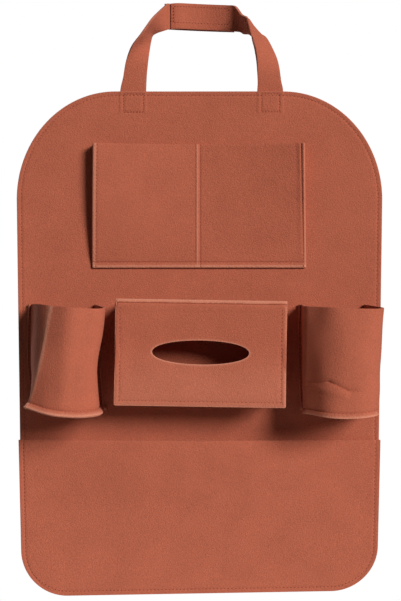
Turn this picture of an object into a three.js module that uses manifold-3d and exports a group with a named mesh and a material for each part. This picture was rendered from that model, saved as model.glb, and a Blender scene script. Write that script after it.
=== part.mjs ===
// A felt organizer that hangs behind a car seat: one backing panel, a magazine pocket across its foot,
// a double phone pocket, a tissue box pocket with an oval slot, two bottle pockets with round bottoms,
// and a two-part carrying strap that closes round the headrest posts.
// Millimetres, +Z up, the pockets face -Y. The origin is the middle of the panel's rear face.
import * as THREE from "three";
import { mergeVertices } from "three/addons/utils/BufferGeometryUtils.js";
import Module from "manifold-3d";

// Felt
const PANEL_FELT = 3;
const POCKET_FELT = 2.5;
const STRAP_FELT = 2.5;
const SEAM_GAP = 0.3;
const FELT_RED = 0xaa5a41;
const FELT_ROUGHNESS = 0.95;
const TAPE_ROUGHNESS = 0.85;

// Back panel
const PANEL_WIDTH = 400;
const PANEL_HEIGHT = 552;
const PANEL_TAPER = 6.5;
const SHOULDER_WIDTH = 108;
const SHOULDER_HEIGHT = 118;
const FOOT_CORNER = 50;
const FOOT_SKEW = 7;
const CORNER_STEPS = 12;

// Magazine pocket
const MAGAZINE_HEIGHT = 171;
const MAGAZINE_BULGE = 9;
const MAGAZINE_COLUMNS = 18;
const MAGAZINE_ROWS = 6;

// Phone pocket
const PHONE_WIDTH = 229;
const PHONE_HEIGHT = 134;
const PHONE_FOOT_ABOVE_CENTRE = 83.5;
const PHONE_DEPTH = 10;
const PHONE_FLANGE = 4;
const PHONE_RISE_POWER = 1.4;
const PHONE_FACE_STEPS = 8;
const PHONE_ROWS = 6;

// Tissue box pocket
const TISSUE_WIDTH = 180;
const TISSUE_HEIGHT = 109;
const TISSUE_DEPTH = 55;
const TISSUE_OFF_CENTRE = 2;
const TISSUE_TOP_ABOVE_CENTRE = 45;
const TISSUE_LEAN_DEGREES = 0.9;
const TISSUE_MARGIN = 5;
const TISSUE_CORNER = 9;
const TISSUE_FACE_CORNER = 4;
const TISSUE_FLANGE = 7;
const TISSUE_HEM = 8;
const TISSUE_HEM_BULGE = 0.8;
const SLOT_LENGTH = 102;
const SLOT_HEIGHT = 25.5;
const SLOT_BELOW_TOP = 52.5;
const SLOT_ENDS = 1;

// Bottle pockets
const BOTTLE_WIDTH = 74;
const BOTTLE_DEPTH = 79;
const BOTTLE_HEIGHT = 109;
const BOTTLE_TOP_ABOVE_CENTRE = 43;
const BOTTLE_FLANGE = 8;
const BOTTLE_HEM = 6;
const RIM_SAG = 5;
const BOTTLE_ROWS = 9;
const BOTTLE_ARC_STEPS = 7;
const BOTTLE_LEG_PIECES = [4, 2, 2];
const LEAST_RADIUS = 0.5;

// A bottle pocket's plan at its rim, waist and foot, from its own middle: where its wall meets the panel on each
// side, then its left front corner, its bowed front and its right front corner as [across, in front of the panel,
// radius].
// The left pocket slumps: its rim is pushed over to the right and keeps a sharp crease at its left front corner.
const LEFT_BOTTLE = {
  name: "left_bottle_pocket",
  middle: 58.3 - PANEL_WIDTH / 2,
  waistAt: 0.66,
  hemFlare: 4.5,
  footTilt: 7,
  leftSag: 0,
  rim: { feet: [-43.8, 28.2], corners: [[-11.3, 70, 4], [9, 78, 46], [47.9, 67, 19]] },
  waist: { feet: [-42, 28.5], corners: [[-25, 73, 7], [-5, 81, 44], [35.1, 73, 24]] },
  foot: { feet: [-36, 32], corners: [[-35.2, 68, 14], [-12, 80, 40], [37, 74, 31]] },
};

// The right pocket stands straighter, with its rim pulled out to the panel's edge.
const RIGHT_BOTTLE = {
  name: "right_bottle_pocket",
  middle: PANEL_WIDTH / 2 - 49.2,
  waistAt: 0.6,
  hemFlare: 0.6,
  footTilt: 0,
  leftSag: 0.5,
  rim: { feet: [-44.3, 29.7], corners: [[-40.3, 66, 5], [-25, 78, 40], [48.3, 75, 30]] },
  waist: { feet: [-42, 30], corners: [[-40, 66, 9], [-23, 79, 36], [42.4, 78.5, 35]] },
  foot: { feet: [-36, 32], corners: [[-38.5, 63, 16], [-20, 79, 36], [37.4, 79, 36]] },
};

// Strap
const STRAP_WIDTH = 28.5;
const STRAP_TAIL = 23;
const TAPE_THICKNESS = 1.2;
const TAPE_WIDTH = 22;
const STRAP_STEPS = 2;
const LEFT_FOOT_X = -72.8;
const RIGHT_FOOT_X = 77.6;
const BAND_TOP = PANEL_HEIGHT / 2 + 100;
const BAND_REACH = 27;
const BAND_NEAR = 12;
const BAND_MIDDLE_X = 5;
const BAND_HALF_SPAN = 45;
const BAND_LEFT_END = -31.7;
const BAND_RIGHT_END = 36;
const BAND_LEAD = 2.5;
const BAND_PIECES = 7;

const panelTop = PANEL_HEIGHT / 2;
const panelFoot = -PANEL_HEIGHT / 2;
const pocketSeat = PANEL_FELT + SEAM_GAP;
const clamp01 = (value) => Math.min(1, Math.max(0, value));
const mix = (a, b, t) => a + (b - a) * t;
const smooth = (t) => t * t * (3 - 2 * t);

// A point of the part from its place across, its distance in front of the panel's rear face and its height.
const at = (across, forward, up) => new THREE.Vector3(across, -forward, up);

function named(name, geometry, roughness = FELT_ROUGHNESS) {
  const felt = new THREE.MeshStandardMaterial({ color: FELT_RED, roughness, metalness: 0 });
  const mesh = new THREE.Mesh(geometry, felt);
  mesh.name = name;
  return mesh;
}

// A closed geometry from rows of points: each face is wound so that the solid's volume comes out positive.
function closedGeometry(points, triangles) {
  const geometry = new THREE.BufferGeometry();
  geometry.setAttribute("position", new THREE.Float32BufferAttribute(points.flatMap((p) => p.toArray()), 3));
  let volume = 0;
  for (const [a, b, c] of triangles) volume += points[a].dot(points[b].clone().cross(points[c]));
  const outward = volume > 0 ? triangles : triangles.map(([a, b, c]) => [a, c, b]);
  geometry.setIndex(outward.flat());
  geometry.computeVertexNormals();
  return geometry;
}

// A sheet of felt from rows of { face, back } point runs of one length: both skins, both ends and both sides.
function sheetGeometry(rows) {
  const count = rows[0].face.length;
  const ring = 2 * count;
  const points = rows.flatMap(({ face, back }) => [...face, ...[...back].reverse()]);
  const triangles = [];
  for (let row = 0; row + 1 < rows.length; row += 1) {
    for (let i = 0; i < ring; i += 1) {
      const a = row * ring + i;
      const b = row * ring + ((i + 1) % ring);
      triangles.push([a, b, b + ring], [a, b + ring, a + ring]);
    }
  }
  const last = (rows.length - 1) * ring;
  for (let i = 0; i + 1 < count; i += 1) {
    const far = ring - 1 - i;
    triangles.push([i, far, far - 1], [i, far - 1, i + 1]);
    triangles.push([last + i, last + far - 1, last + far], [last + i, last + i + 1, last + far - 1]);
  }
  return closedGeometry(points, triangles);
}

// A plane run of points moved sideways by a distance, mitred at its corners.
function offsetRun(run, distance) {
  return run.map((point, i) => {
    const before = run[Math.max(0, i - 1)];
    const after = run[Math.min(run.length - 1, i + 1)];
    const inwards = point.clone().sub(before);
    const onwards = after.clone().sub(point);
    if (i === 0) inwards.copy(onwards);
    if (i === run.length - 1) onwards.copy(inwards);
    inwards.normalize();
    onwards.normalize();
    const along = inwards.clone().add(onwards).normalize();
    const mitre = 1 / Math.max(0.5, along.dot(onwards));
    return new THREE.Vector2(point.x - along.y * distance * mitre, point.y + along.x * distance * mitre);
  });
}

// A plane run through corner points [x, y, radius, pieces]: each leg is cut into its pieces, each corner is an arc.
function roundedRun(corners, arcSteps) {
  const run = [];
  let leave = new THREE.Vector2(corners[0][0], corners[0][1]);
  for (let i = 1; i < corners.length; i += 1) {
    const [x, y, radius, pieces] = corners[i];
    const corner = new THREE.Vector2(x, y);
    const from = corner.clone().sub(new THREE.Vector2(corners[i - 1][0], corners[i - 1][1])).normalize();
    const end = i === corners.length - 1;
    const to = end ? from : new THREE.Vector2(corners[i + 1][0], corners[i + 1][1]).sub(corner).normalize();
    const turn = end ? 0 : Math.acos(Math.min(1, Math.max(-1, from.dot(to))));
    const reach = radius * Math.tan(turn / 2);
    const enter = corner.clone().addScaledVector(from, -reach);
    for (let k = 0; k < pieces; k += 1) run.push(leave.clone().lerp(enter, k / pieces));
    leave = corner.clone().addScaledVector(to, reach);
    for (let k = 0; k < (end ? 1 : arcSteps); k += 1) {
      const t = k / arcSteps;
      const bend = enter.clone().lerp(corner, t).lerp(corner.clone().lerp(leave, t), t);
      run.push(end ? enter : bend);
    }
  }
  return run;
}

// Half the panel's width at a height, with its large shoulders, its taper below the middle and its round foot corners.
function halfWidthAt(height) {
  const side = PANEL_WIDTH / 2 - PANEL_TAPER * clamp01(height / panelFoot);
  const intoShoulder = clamp01((height - (panelTop - SHOULDER_HEIGHT)) / SHOULDER_HEIGHT);
  const intoFoot = clamp01((panelFoot + FOOT_CORNER - height) / FOOT_CORNER);
  const shoulder = SHOULDER_WIDTH * (1 - Math.sqrt(Math.max(0, 1 - intoShoulder ** 2)));
  const foot = FOOT_CORNER * (1 - Math.sqrt(Math.max(0, 1 - intoFoot ** 2)));
  return side - shoulder - foot;
}

// The foot of the felt is cut a little askew: it rises to the right, and nothing above the magazine pocket moves.
function skewed(point) {
  const low = clamp01((panelFoot + MAGAZINE_HEIGHT - point.z) / MAGAZINE_HEIGHT);
  point.z += FOOT_SKEW * low * clamp01(point.x / PANEL_WIDTH + 0.5);
  return point;
}

// Heights of the outline between a foot and a top, close together round the corners.
function outlineHeights(top) {
  const heights = [];
  for (let i = 0; i <= CORNER_STEPS; i += 1) {
    heights.push(panelFoot + FOOT_CORNER * (1 - Math.cos((i / CORNER_STEPS) * (Math.PI / 2))));
  }
  const straight = Math.min(top, panelTop - SHOULDER_HEIGHT);
  const middle = panelFoot + MAGAZINE_HEIGHT;
  if (straight > middle) heights.push(middle);
  heights.push(straight);
  if (top > straight) {
    for (let i = 1; i <= CORNER_STEPS; i += 1) {
      heights.push(straight + SHOULDER_HEIGHT * Math.sin((i / CORNER_STEPS) * (Math.PI / 2)));
    }
  }
  return heights;
}

function backPanel() {
  const outline = new THREE.Shape();
  const heights = outlineHeights(panelTop);
  const right = heights.map((height) => skewed(at(halfWidthAt(height), 0, height)));
  const left = heights.map((height) => skewed(at(-halfWidthAt(height), 0, height))).reverse();
  outline.setFromPoints([...right, ...left].map((p) => new THREE.Vector2(p.x, p.z)));
  const slab = new THREE.ExtrudeGeometry(outline, { depth: PANEL_FELT, bevelEnabled: false });
  return named("back_panel", slab.rotateX(Math.PI / 2));
}

// The front sheet across the foot: it follows the panel's outline and stands off it towards its open top edge.
function magazinePocket() {
  const top = panelFoot + MAGAZINE_HEIGHT;
  const corner = outlineHeights(top).slice(0, -1);
  const straight = corner[corner.length - 1];
  const heights = [...corner];
  for (let i = 1; i <= MAGAZINE_ROWS; i += 1) heights.push(mix(straight, top, i / MAGAZINE_ROWS));
  const rows = heights.map((height) => {
    const rise = clamp01((height - panelFoot - BOTTLE_HEM) / (MAGAZINE_HEIGHT - BOTTLE_HEM));
    const run = [];
    for (let i = 0; i <= MAGAZINE_COLUMNS; i += 1) {
      const across = mix(-1, 1, i / MAGAZINE_COLUMNS);
      const bulge = MAGAZINE_BULGE * smooth(rise) * (1 - across ** 2) ** 2;
      run.push({ x: across * halfWidthAt(height), forward: pocketSeat + bulge });
    }
    return {
      face: run.map((p) => skewed(at(p.x, p.forward + POCKET_FELT, height))),
      back: run.map((p) => skewed(at(p.x, p.forward, height))),
    };
  });
  return named("magazine_pocket", sheetGeometry(rows));
}

// One sheet sewn down its middle and along its foot, whose two outer edges fold back to the panel as gussets.
function phonePocket() {
  const seat = pocketSeat + POCKET_FELT / 2;
  const edge = PHONE_WIDTH / 2;
  const wallFoot = edge + POCKET_FELT / 2;
  const rows = [];
  for (let row = 0; row <= PHONE_ROWS; row += 1) {
    const up = row / PHONE_ROWS;
    const half = [];
    for (let i = 0; i <= PHONE_FACE_STEPS; i += 1) {
      const out = i / PHONE_FACE_STEPS;
      half.push(new THREE.Vector2(out * edge, seat + PHONE_DEPTH * up * out ** PHONE_RISE_POWER));
    }
    half.push(new THREE.Vector2(wallFoot, seat));
    half.push(new THREE.Vector2(wallFoot + PHONE_FLANGE, seat));
    const mirrored = half.slice(1).reverse().map((p) => new THREE.Vector2(-p.x, p.y));
    const run = [...mirrored, ...half];
    const height = PHONE_FOOT_ABOVE_CENTRE + up * PHONE_HEIGHT;
    const place = (p) => at(p.x, Math.max(p.y, pocketSeat), height);
    rows.push({
      face: offsetRun(run, POCKET_FELT / 2).map(place),
      back: offsetRun(run, -POCKET_FELT / 2).map(place),
    });
  }
  return named("phone_pocket", sheetGeometry(rows));
}

function plateShape(width, low, high, corner) {
  const shape = new THREE.Shape();
  const half = width / 2;
  shape.moveTo(-half + corner, low);
  shape.lineTo(half - corner, low);
  shape.absarc(half - corner, low + corner, corner, -Math.PI / 2, 0, false);
  shape.lineTo(half, high);
  shape.lineTo(-half, high);
  shape.lineTo(-half, low + corner);
  shape.absarc(-half + corner, low + corner, corner, Math.PI, 1.5 * Math.PI, false);
  return shape;
}

const library = await Module();
library.setup();

function solidOf(geometry) {
  const bare = geometry.clone();
  bare.deleteAttribute("normal");
  if (bare.hasAttribute("uv")) bare.deleteAttribute("uv");
  const merged = mergeVertices(bare, 1e-4);
  return new library.Manifold(
    new library.Mesh({
      numProp: 3,
      vertProperties: merged.attributes.position.array,
      triVerts: new Uint32Array(merged.index.array),
    }),
  );
}

function geometryOf(solid) {
  const mesh = solid.getMesh();
  const geometry = new THREE.BufferGeometry();
  geometry.setAttribute("position", new THREE.BufferAttribute(mesh.vertProperties, mesh.numProp));
  geometry.setIndex(new THREE.BufferAttribute(mesh.triVerts, 1));
  geometry.computeVertexNormals();
  return geometry;
}

// The room one wall of the tissue pocket takes behind the face: the hem's inner fold stops short of it.
function gussetRoom(side) {
  const inner = TISSUE_WIDTH / 2 - TISSUE_MARGIN - POCKET_FELT / 2 - SEAM_GAP;
  const size = [TISSUE_WIDTH, TISSUE_DEPTH, 2 * TISSUE_HEM + 2 * SEAM_GAP];
  const rear = -(PANEL_FELT + TISSUE_DEPTH - POCKET_FELT);
  return library.Manifold.cube(size, true).translate([side * (inner + size[0] / 2), rear + size[1] / 2, 0]);
}

// The face of the tissue pocket, its top edge hemmed inwards and its slot a long oval.
// Heights are measured down from the pocket's top edge.
function tissueFace() {
  const face = plateShape(TISSUE_WIDTH, -TISSUE_HEIGHT, -TISSUE_HEM / 2, TISSUE_FACE_CORNER);
  const slot = new THREE.Path();
  const tip = SLOT_LENGTH / 2;
  const handle = tip * SLOT_ENDS;
  const lift = (SLOT_HEIGHT / 2) * (4 / 3);
  slot.moveTo(-tip, -SLOT_BELOW_TOP);
  slot.bezierCurveTo(-handle, -SLOT_BELOW_TOP + lift, handle, -SLOT_BELOW_TOP + lift, tip, -SLOT_BELOW_TOP);
  slot.bezierCurveTo(handle, -SLOT_BELOW_TOP - lift, -handle, -SLOT_BELOW_TOP - lift, -tip, -SLOT_BELOW_TOP);
  face.holes.push(slot);
  const plate = new THREE.ExtrudeGeometry(face, { depth: POCKET_FELT, bevelEnabled: false, curveSegments: 14 });
  plate.rotateX(Math.PI / 2).translate(0, -(PANEL_FELT + TISSUE_DEPTH - POCKET_FELT), 0);

  const hemDepth = 2 * POCKET_FELT + TISSUE_HEM_BULGE;
  const hem = new THREE.Shape();
  hem.moveTo(0, -TISSUE_HEM);
  hem.lineTo(hemDepth, -TISSUE_HEM);
  hem.lineTo(hemDepth, -hemDepth / 2);
  hem.absarc(hemDepth / 2, -hemDepth / 2, hemDepth / 2, 0, Math.PI, false);
  const fold = new THREE.ExtrudeGeometry(hem, { depth: TISSUE_WIDTH, bevelEnabled: false, curveSegments: 6 });
  const sweep = new THREE.Matrix4().makeBasis(
    new THREE.Vector3(0, 1, 0),
    new THREE.Vector3(0, 0, 1),
    new THREE.Vector3(1, 0, 0),
  );
  fold.applyMatrix4(sweep);
  fold.translate(-TISSUE_WIDTH / 2, -(PANEL_FELT + TISSUE_DEPTH + TISSUE_HEM_BULGE), 0);
  const hemmed = [-1, 1].reduce((solid, side) => solid.subtract(gussetRoom(side)), solidOf(fold));
  return named("tissue_pocket_face", geometryOf(solidOf(plate).add(hemmed)));
}

// The strip that makes the sides and floor of the tissue pocket, sewn to the panel and, margin to margin, to the face.
function tissueGusset() {
  const side = TISSUE_WIDTH / 2 - TISSUE_MARGIN;
  const floor = -TISSUE_HEIGHT + TISSUE_MARGIN;
  const start = -SEAM_GAP;
  const path = roundedRun(
    [[-side, start], [-side, floor, TISSUE_CORNER, 3], [side, floor, TISSUE_CORNER, 6], [side, start, 0, 3]],
    6,
  );
  const rear = pocketSeat + POCKET_FELT / 2;
  const front = PANEL_FELT + TISSUE_DEPTH - POCKET_FELT - SEAM_GAP - POCKET_FELT / 2;
  const frontEdge = TISSUE_MARGIN;
  const section = roundedRun(
    [[TISSUE_FLANGE, rear], [0, rear, POCKET_FELT, 1], [0, front, POCKET_FELT, 3], [frontEdge, front, 0, 1]],
    3,
  );
  const sides = [offsetRun(section, POCKET_FELT / 2), offsetRun(section, -POCKET_FELT / 2)];
  const rows = path.map((point, i) => {
    const before = path[Math.max(0, i - 1)];
    const after = path[Math.min(path.length - 1, i + 1)];
    const along = after.clone().sub(before).normalize();
    const outward = new THREE.Vector2(along.y, -along.x);
    const place = (p) => at(point.x + outward.x * p.x, p.y, point.y + outward.y * p.x);
    return { face: sides[0].map(place), back: sides[1].map(place) };
  });
  return named("tissue_pocket_gusset", sheetGeometry(rows));
}

// A bottle pocket's plan run at one height, inset for its bottom or, at full size, with its two sewn flanges.
function bottleRun({ feet, corners }, inset = 0) {
  const [leftFoot, rightFoot] = feet;
  const seat = inset ? pocketSeat : pocketSeat + POCKET_FELT / 2;
  const front = corners.map(([across, forward, radius], i) => [
    across + (1 - i) * inset,
    PANEL_FELT + forward - inset,
    Math.max(LEAST_RADIUS, radius - inset),
    BOTTLE_LEG_PIECES[i],
  ]);
  if (inset) {
    return roundedRun([[leftFoot + inset, seat], ...front, [rightFoot - inset, seat, 0, 4]], BOTTLE_ARC_STEPS);
  }
  return roundedRun(
    [
      [leftFoot - BOTTLE_FLANGE, seat],
      [leftFoot, seat, POCKET_FELT, 1],
      ...front,
      [rightFoot, seat, POCKET_FELT, 4],
      [rightFoot + BOTTLE_FLANGE, seat, 0, 1],
    ],
    BOTTLE_ARC_STEPS,
  );
}

// The plan between two others, and so on between their corners.
function mixedPlan(from, to, t) {
  const between = (a, b) => a.map((value, i) => mix(value, b[i], t));
  return {
    feet: between(from.feet, to.feet),
    corners: from.corners.map((corner, i) => between(corner, to.corners[i])),
  };
}

// A bottle pocket's plan from 0 at its rim to 1 at its bottom seam.
function planAt({ rim, waist, waistAt, foot }, down) {
  if (down < waistAt) return mixedPlan(rim, waist, down / waistAt);
  return mixedPlan(waist, foot, (down - waistAt) / (1 - waistAt));
}

// The pocket's foot plan spread by the flare of its hem.
function hemPlan({ foot, hemFlare }) {
  const [leftFoot, rightFoot] = foot.feet;
  return {
    feet: [leftFoot - hemFlare, rightFoot + hemFlare],
    corners: foot.corners.map(([across, forward, radius], i) => [
      across + (i - 1) * hemFlare,
      forward + hemFlare,
      radius,
    ]),
  };
}

// A point of a bottle pocket: its rim sags away from the panel and its foot may be higher on its left.
function bottlePoint(pocket, point, height, down) {
  const forward = clamp01((point.y - pocketSeat) / BOTTLE_DEPTH);
  const across = clamp01(point.x / BOTTLE_WIDTH + 0.5);
  const sag = RIM_SAG * (1 - down) * forward * mix(pocket.leftSag, 1, across);
  const lift = pocket.footTilt * down * (1 - across);
  return at(pocket.middle + point.x, point.y, height - sag + lift);
}

const bottleSeam = BOTTLE_TOP_ABOVE_CENTRE - BOTTLE_HEIGHT;

// The wall of a bottle pocket: one strip, sewn to the panel by its two flanges, with its hem turned out at the foot.
function bottleWall(pocket) {
  const rows = [];
  for (let row = 0; row <= BOTTLE_ROWS; row += 1) {
    const down = row / BOTTLE_ROWS;
    rows.push({ plan: planAt(pocket, down), height: mix(BOTTLE_TOP_ABOVE_CENTRE, bottleSeam, down), down });
  }
  rows.push({ plan: hemPlan(pocket), height: bottleSeam - BOTTLE_HEM, down: 1 });
  const wall = rows.map(({ plan, height, down }) => {
    const run = bottleRun(plan);
    const place = (p) => bottlePoint(pocket, p, height, down);
    return {
      face: offsetRun(run, POCKET_FELT / 2).map(place),
      back: offsetRun(run, -POCKET_FELT / 2).map(place),
    };
  });
  return named(pocket.name, sheetGeometry(wall));
}

// The round bottom: a disc whose margin is turned down inside the wall's hem and sewn to it.
function bottleBottom(pocket) {
  const seam = POCKET_FELT / 2 + SEAM_GAP;
  const hem = hemPlan(pocket);
  const clearOfPanel = (p) => new THREE.Vector2(p.x, Math.max(p.y, pocketSeat + POCKET_FELT));
  const rings = [
    { run: bottleRun(pocket.foot, seam), height: bottleSeam },
    { run: bottleRun(hem, seam), height: bottleSeam - BOTTLE_HEM },
    { run: bottleRun(hem, seam + POCKET_FELT).map(clearOfPanel), height: bottleSeam - BOTTLE_HEM },
    { run: bottleRun(pocket.foot, seam + POCKET_FELT).map(clearOfPanel), height: bottleSeam - POCKET_FELT },
  ];
  const count = rings[0].run.length;
  const points = rings.flatMap(({ run, height }) => run.map((p) => bottlePoint(pocket, p, height, 1)));
  const triangles = [];
  for (let ring = 0; ring + 1 < rings.length; ring += 1) {
    for (let i = 0; i < count; i += 1) {
      const a = ring * count + i;
      const b = ring * count + ((i + 1) % count);
      triangles.push([a, b, b + count], [a, b + count, a + count]);
    }
  }
  const middle = new THREE.Vector2(0, PANEL_FELT + BOTTLE_DEPTH / 2);
  const above = points.push(bottlePoint(pocket, middle, bottleSeam, 1)) - 1;
  const below = points.push(bottlePoint(pocket, middle, bottleSeam - POCKET_FELT, 1)) - 1;
  const inner = (rings.length - 1) * count;
  for (let i = 0; i < count; i += 1) {
    const next = (i + 1) % count;
    triangles.push([above, next, i], [below, inner + i, inner + next]);
  }
  return named(pocket.name.replace("pocket", "bottom"), closedGeometry(points, triangles));
}

// A ribbon between two rails: its stations are [outer point, inner point], and its felt lies half on each side.
function ribbonGeometry(stations, thickness, steps) {
  const outer = new THREE.CatmullRomCurve3(stations.map(([a]) => a), false, "centripetal");
  const inner = new THREE.CatmullRomCurve3(stations.map(([, b]) => b), false, "centripetal");
  const count = (stations.length - 1) * steps;
  const rails = [];
  for (let i = 0; i <= count; i += 1) rails.push([outer.getPoint(i / count), inner.getPoint(i / count)]);
  const middles = rails.map(([a, b]) => a.clone().lerp(b, 0.5));
  const rows = rails.map(([a, b], i) => {
    const along = middles[Math.min(count, i + 1)].clone().sub(middles[Math.max(0, i - 1)]);
    const across = b.clone().sub(a);
    const normal = along.cross(across).normalize().multiplyScalar(thickness / 2);
    const run = [a, a.clone().lerp(b, 0.5), b];
    return { face: run.map((p) => p.clone().add(normal)), back: run.map((p) => p.clone().sub(normal)) };
  });
  return sheetGeometry(rows);
}

// How far behind the panel's rear face the strap's upper part lies: its middle is furthest back.
function bandBack(x) {
  return BAND_NEAR + (BAND_REACH - BAND_NEAR) * (1 - ((x - BAND_MIDDLE_X) / BAND_HALF_SPAN) ** 2);
}

// A length of the strap's upper part between two places across, laid a distance behind its front layer.
function bandStations(from, to, layer, width) {
  const stations = [];
  for (let i = 0; i <= BAND_PIECES; i += 1) {
    const x = mix(from, to, i / BAND_PIECES);
    const slope = (-2 * (BAND_REACH - BAND_NEAR) * (x - BAND_MIDDLE_X)) / BAND_HALF_SPAN ** 2;
    const length = Math.hypot(1, slope);
    const across = x - (slope / length) * layer;
    const back = bandBack(x) + layer / length;
    const inset = (STRAP_WIDTH - width) / 2;
    stations.push([at(across, -back, BAND_TOP - inset), at(across, -back, BAND_TOP - inset - width)]);
  }
  return stations;
}

const tapePitch = (STRAP_FELT + TAPE_THICKNESS) / 2 + SEAM_GAP;
const strapPitch = 2 * tapePitch + TAPE_THICKNESS + SEAM_GAP;
const strapRear = SEAM_GAP + STRAP_FELT / 2;

// A strap's foot, sewn flat on the panel's rear face: two stations, bottom one first.
function strapFoot(x) {
  const half = STRAP_WIDTH / 2;
  return [panelTop - STRAP_TAIL, panelTop].map((up) => [at(x - half, -strapRear, up), at(x + half, -strapRear, up)]);
}

// Stations of the left corner, from the panel's top edge up to the band: [outer x, back, up, inner x, back, up],
// x from the strap's foot and up from the panel's top edge.
const LEFT_CORNER = [
  [-11, 0.5, 16, 15, 2, 18],
  [-7.6, -2, 33, 16.4, 3, 34],
  [-1, -7, 48, 17.5, 9, 49],
  [9, -11, 60, 18.5, 13, 59],
  [15, -11, 68.5, 20.5, 15, 65.5],
  [22, -8, 78, 26, 16, 69],
  [30, 9, 90.5, 33.3, 18.5, 71],
];

// Stations of the right corner, from the band down to the panel's top edge, in the same form.
const RIGHT_CORNER = [
  [-38, 15, 97.5, -33, 18, 69.5],
  [-31, 4, 85.5, -27.5, 14, 66.5],
  [-25.6, -8, 79.5, -22, -5, 61.5],
  [-18.8, 2, 72.8, -20, -11, 55.8],
  [-10.4, 8, 65, -18.6, -12, 50.5],
  [-3.4, 9, 59.5, -17.2, -11, 45.5],
  [5.8, 6, 41, -15.2, -7, 34],
  [9.6, 3, 28, -14.2, -3, 22],
  [12, 2, 12, -13.7, 0.5, 10],
];

function cornerStations(foot, corner) {
  return corner.map(([outerX, outerBack, outerUp, innerX, innerBack, innerUp]) => [
    at(foot + outerX, -outerBack, panelTop + outerUp),
    at(foot + innerX, -innerBack, panelTop + innerUp),
  ]);
}

function leftStrap() {
  const band = bandStations(BAND_LEFT_END - BAND_LEAD, BAND_RIGHT_END, strapPitch, STRAP_WIDTH);
  const stations = [...strapFoot(LEFT_FOOT_X), ...cornerStations(LEFT_FOOT_X, LEFT_CORNER), ...band];
  return named("left_strap", ribbonGeometry(stations, STRAP_FELT, STRAP_STEPS));
}

function rightStrap() {
  const band = bandStations(BAND_LEFT_END, BAND_RIGHT_END - 4, 0, STRAP_WIDTH);
  const foot = strapFoot(RIGHT_FOOT_X).reverse().map(([left, right]) => [right, left]);
  const stations = [...band, ...cornerStations(RIGHT_FOOT_X, RIGHT_CORNER), ...foot];
  return named("right_strap", ribbonGeometry(stations, STRAP_FELT, STRAP_STEPS));
}

// The hook tape on the right strap's rear and the loop tape on the left strap's front, pressed together.
function strapTape(name, back) {
  const end = (STRAP_WIDTH - TAPE_WIDTH) / 2;
  const stations = bandStations(BAND_LEFT_END + end + 8, BAND_RIGHT_END - end - 4, back, TAPE_WIDTH);
  return named(name, ribbonGeometry(stations, TAPE_THICKNESS, STRAP_STEPS), TAPE_ROUGHNESS);
}

const organizer = new THREE.Group();
organizer.add(backPanel(), magazinePocket(), phonePocket());

const tissuePocket = new THREE.Group();
tissuePocket.position.set(TISSUE_OFF_CENTRE, 0, TISSUE_TOP_ABOVE_CENTRE);
tissuePocket.rotation.y = THREE.MathUtils.degToRad(TISSUE_LEAN_DEGREES);
tissuePocket.add(tissueFace(), tissueGusset());
organizer.add(tissuePocket);

for (const pocket of [LEFT_BOTTLE, RIGHT_BOTTLE]) organizer.add(bottleWall(pocket), bottleBottom(pocket));

organizer.add(leftStrap(), rightStrap());
organizer.add(strapTape("hook_tape", tapePitch), strapTape("loop_tape", tapePitch + TAPE_THICKNESS + SEAM_GAP));

export default organizer;
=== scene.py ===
"""Dresses a felt organizer that hangs behind a car seat for a studio picture.

Every class below makes one sub-assembly of the organizer. Inside the classes lengths are millimetres in the
part's own frame: x across, y towards the seat and z up, with "forward" the distance in front of the panel's
rear face, so y = -forward. Felt is made from the mid-surface that its two skins share.
"""

from __future__ import annotations

import logging
import math
from collections.abc import Sequence
from dataclasses import dataclass, field, replace
from enum import Enum

import bmesh
import bpy
import numpy as np
from numpy.typing import NDArray
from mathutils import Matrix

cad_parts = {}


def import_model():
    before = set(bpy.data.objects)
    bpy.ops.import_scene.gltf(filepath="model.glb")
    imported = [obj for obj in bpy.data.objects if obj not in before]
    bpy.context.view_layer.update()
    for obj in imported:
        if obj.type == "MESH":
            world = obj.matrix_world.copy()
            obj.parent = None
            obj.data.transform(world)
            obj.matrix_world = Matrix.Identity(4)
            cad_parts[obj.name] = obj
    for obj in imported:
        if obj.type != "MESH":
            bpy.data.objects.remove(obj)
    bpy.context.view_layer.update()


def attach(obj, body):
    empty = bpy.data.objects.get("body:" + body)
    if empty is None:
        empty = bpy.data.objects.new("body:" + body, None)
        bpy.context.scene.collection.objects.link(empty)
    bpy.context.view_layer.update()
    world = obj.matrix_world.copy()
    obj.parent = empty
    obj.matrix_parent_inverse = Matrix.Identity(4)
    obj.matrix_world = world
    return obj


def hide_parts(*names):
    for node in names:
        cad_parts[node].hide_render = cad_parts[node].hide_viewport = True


log = logging.getLogger("organizer")

Array = NDArray[np.float64]
Pair = tuple[float, float]
METRES = 0.001
PANEL_FELT = 3.0
POCKET_FELT = 2.5
STRAP_FELT = 2.5
SEAM_GAP = 0.3
POCKET_SEAT = PANEL_FELT + SEAM_GAP
SEAT_MIDDLE = POCKET_SEAT + POCKET_FELT / 2
THREAD_SINK = 0.1
POCKET_THREAD = POCKET_FELT / 2.0 - THREAD_SINK
EDGE_INSETS = (0.0, 0.9, 1.9, 2.9, 3.9, 4.8, 5.7, 6.7)
MERGE_METRES = 1e-5


class Held(Enum):
    """How a sheet of felt is held in the organizer."""

    STRETCHED = "stretched"
    HUNG = "hung"


# Surfaces


def mix(a: Array | float, b: Array | float, t: Array | float) -> Array | float:
    """The value a + (b - a) t."""
    return a + (b - a) * t


def smooth(t: Array) -> Array:
    """The soft step 3t^2 - 2t^3 of a share clipped to 0..1."""
    t = np.clip(t, 0.0, 1.0)
    return t * t * (3.0 - 2.0 * t)


def bell(distance: Array, width: float) -> Array:
    """The bell exp(-(distance / width)^2)."""
    return np.exp(-((distance / width) ** 2))


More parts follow.
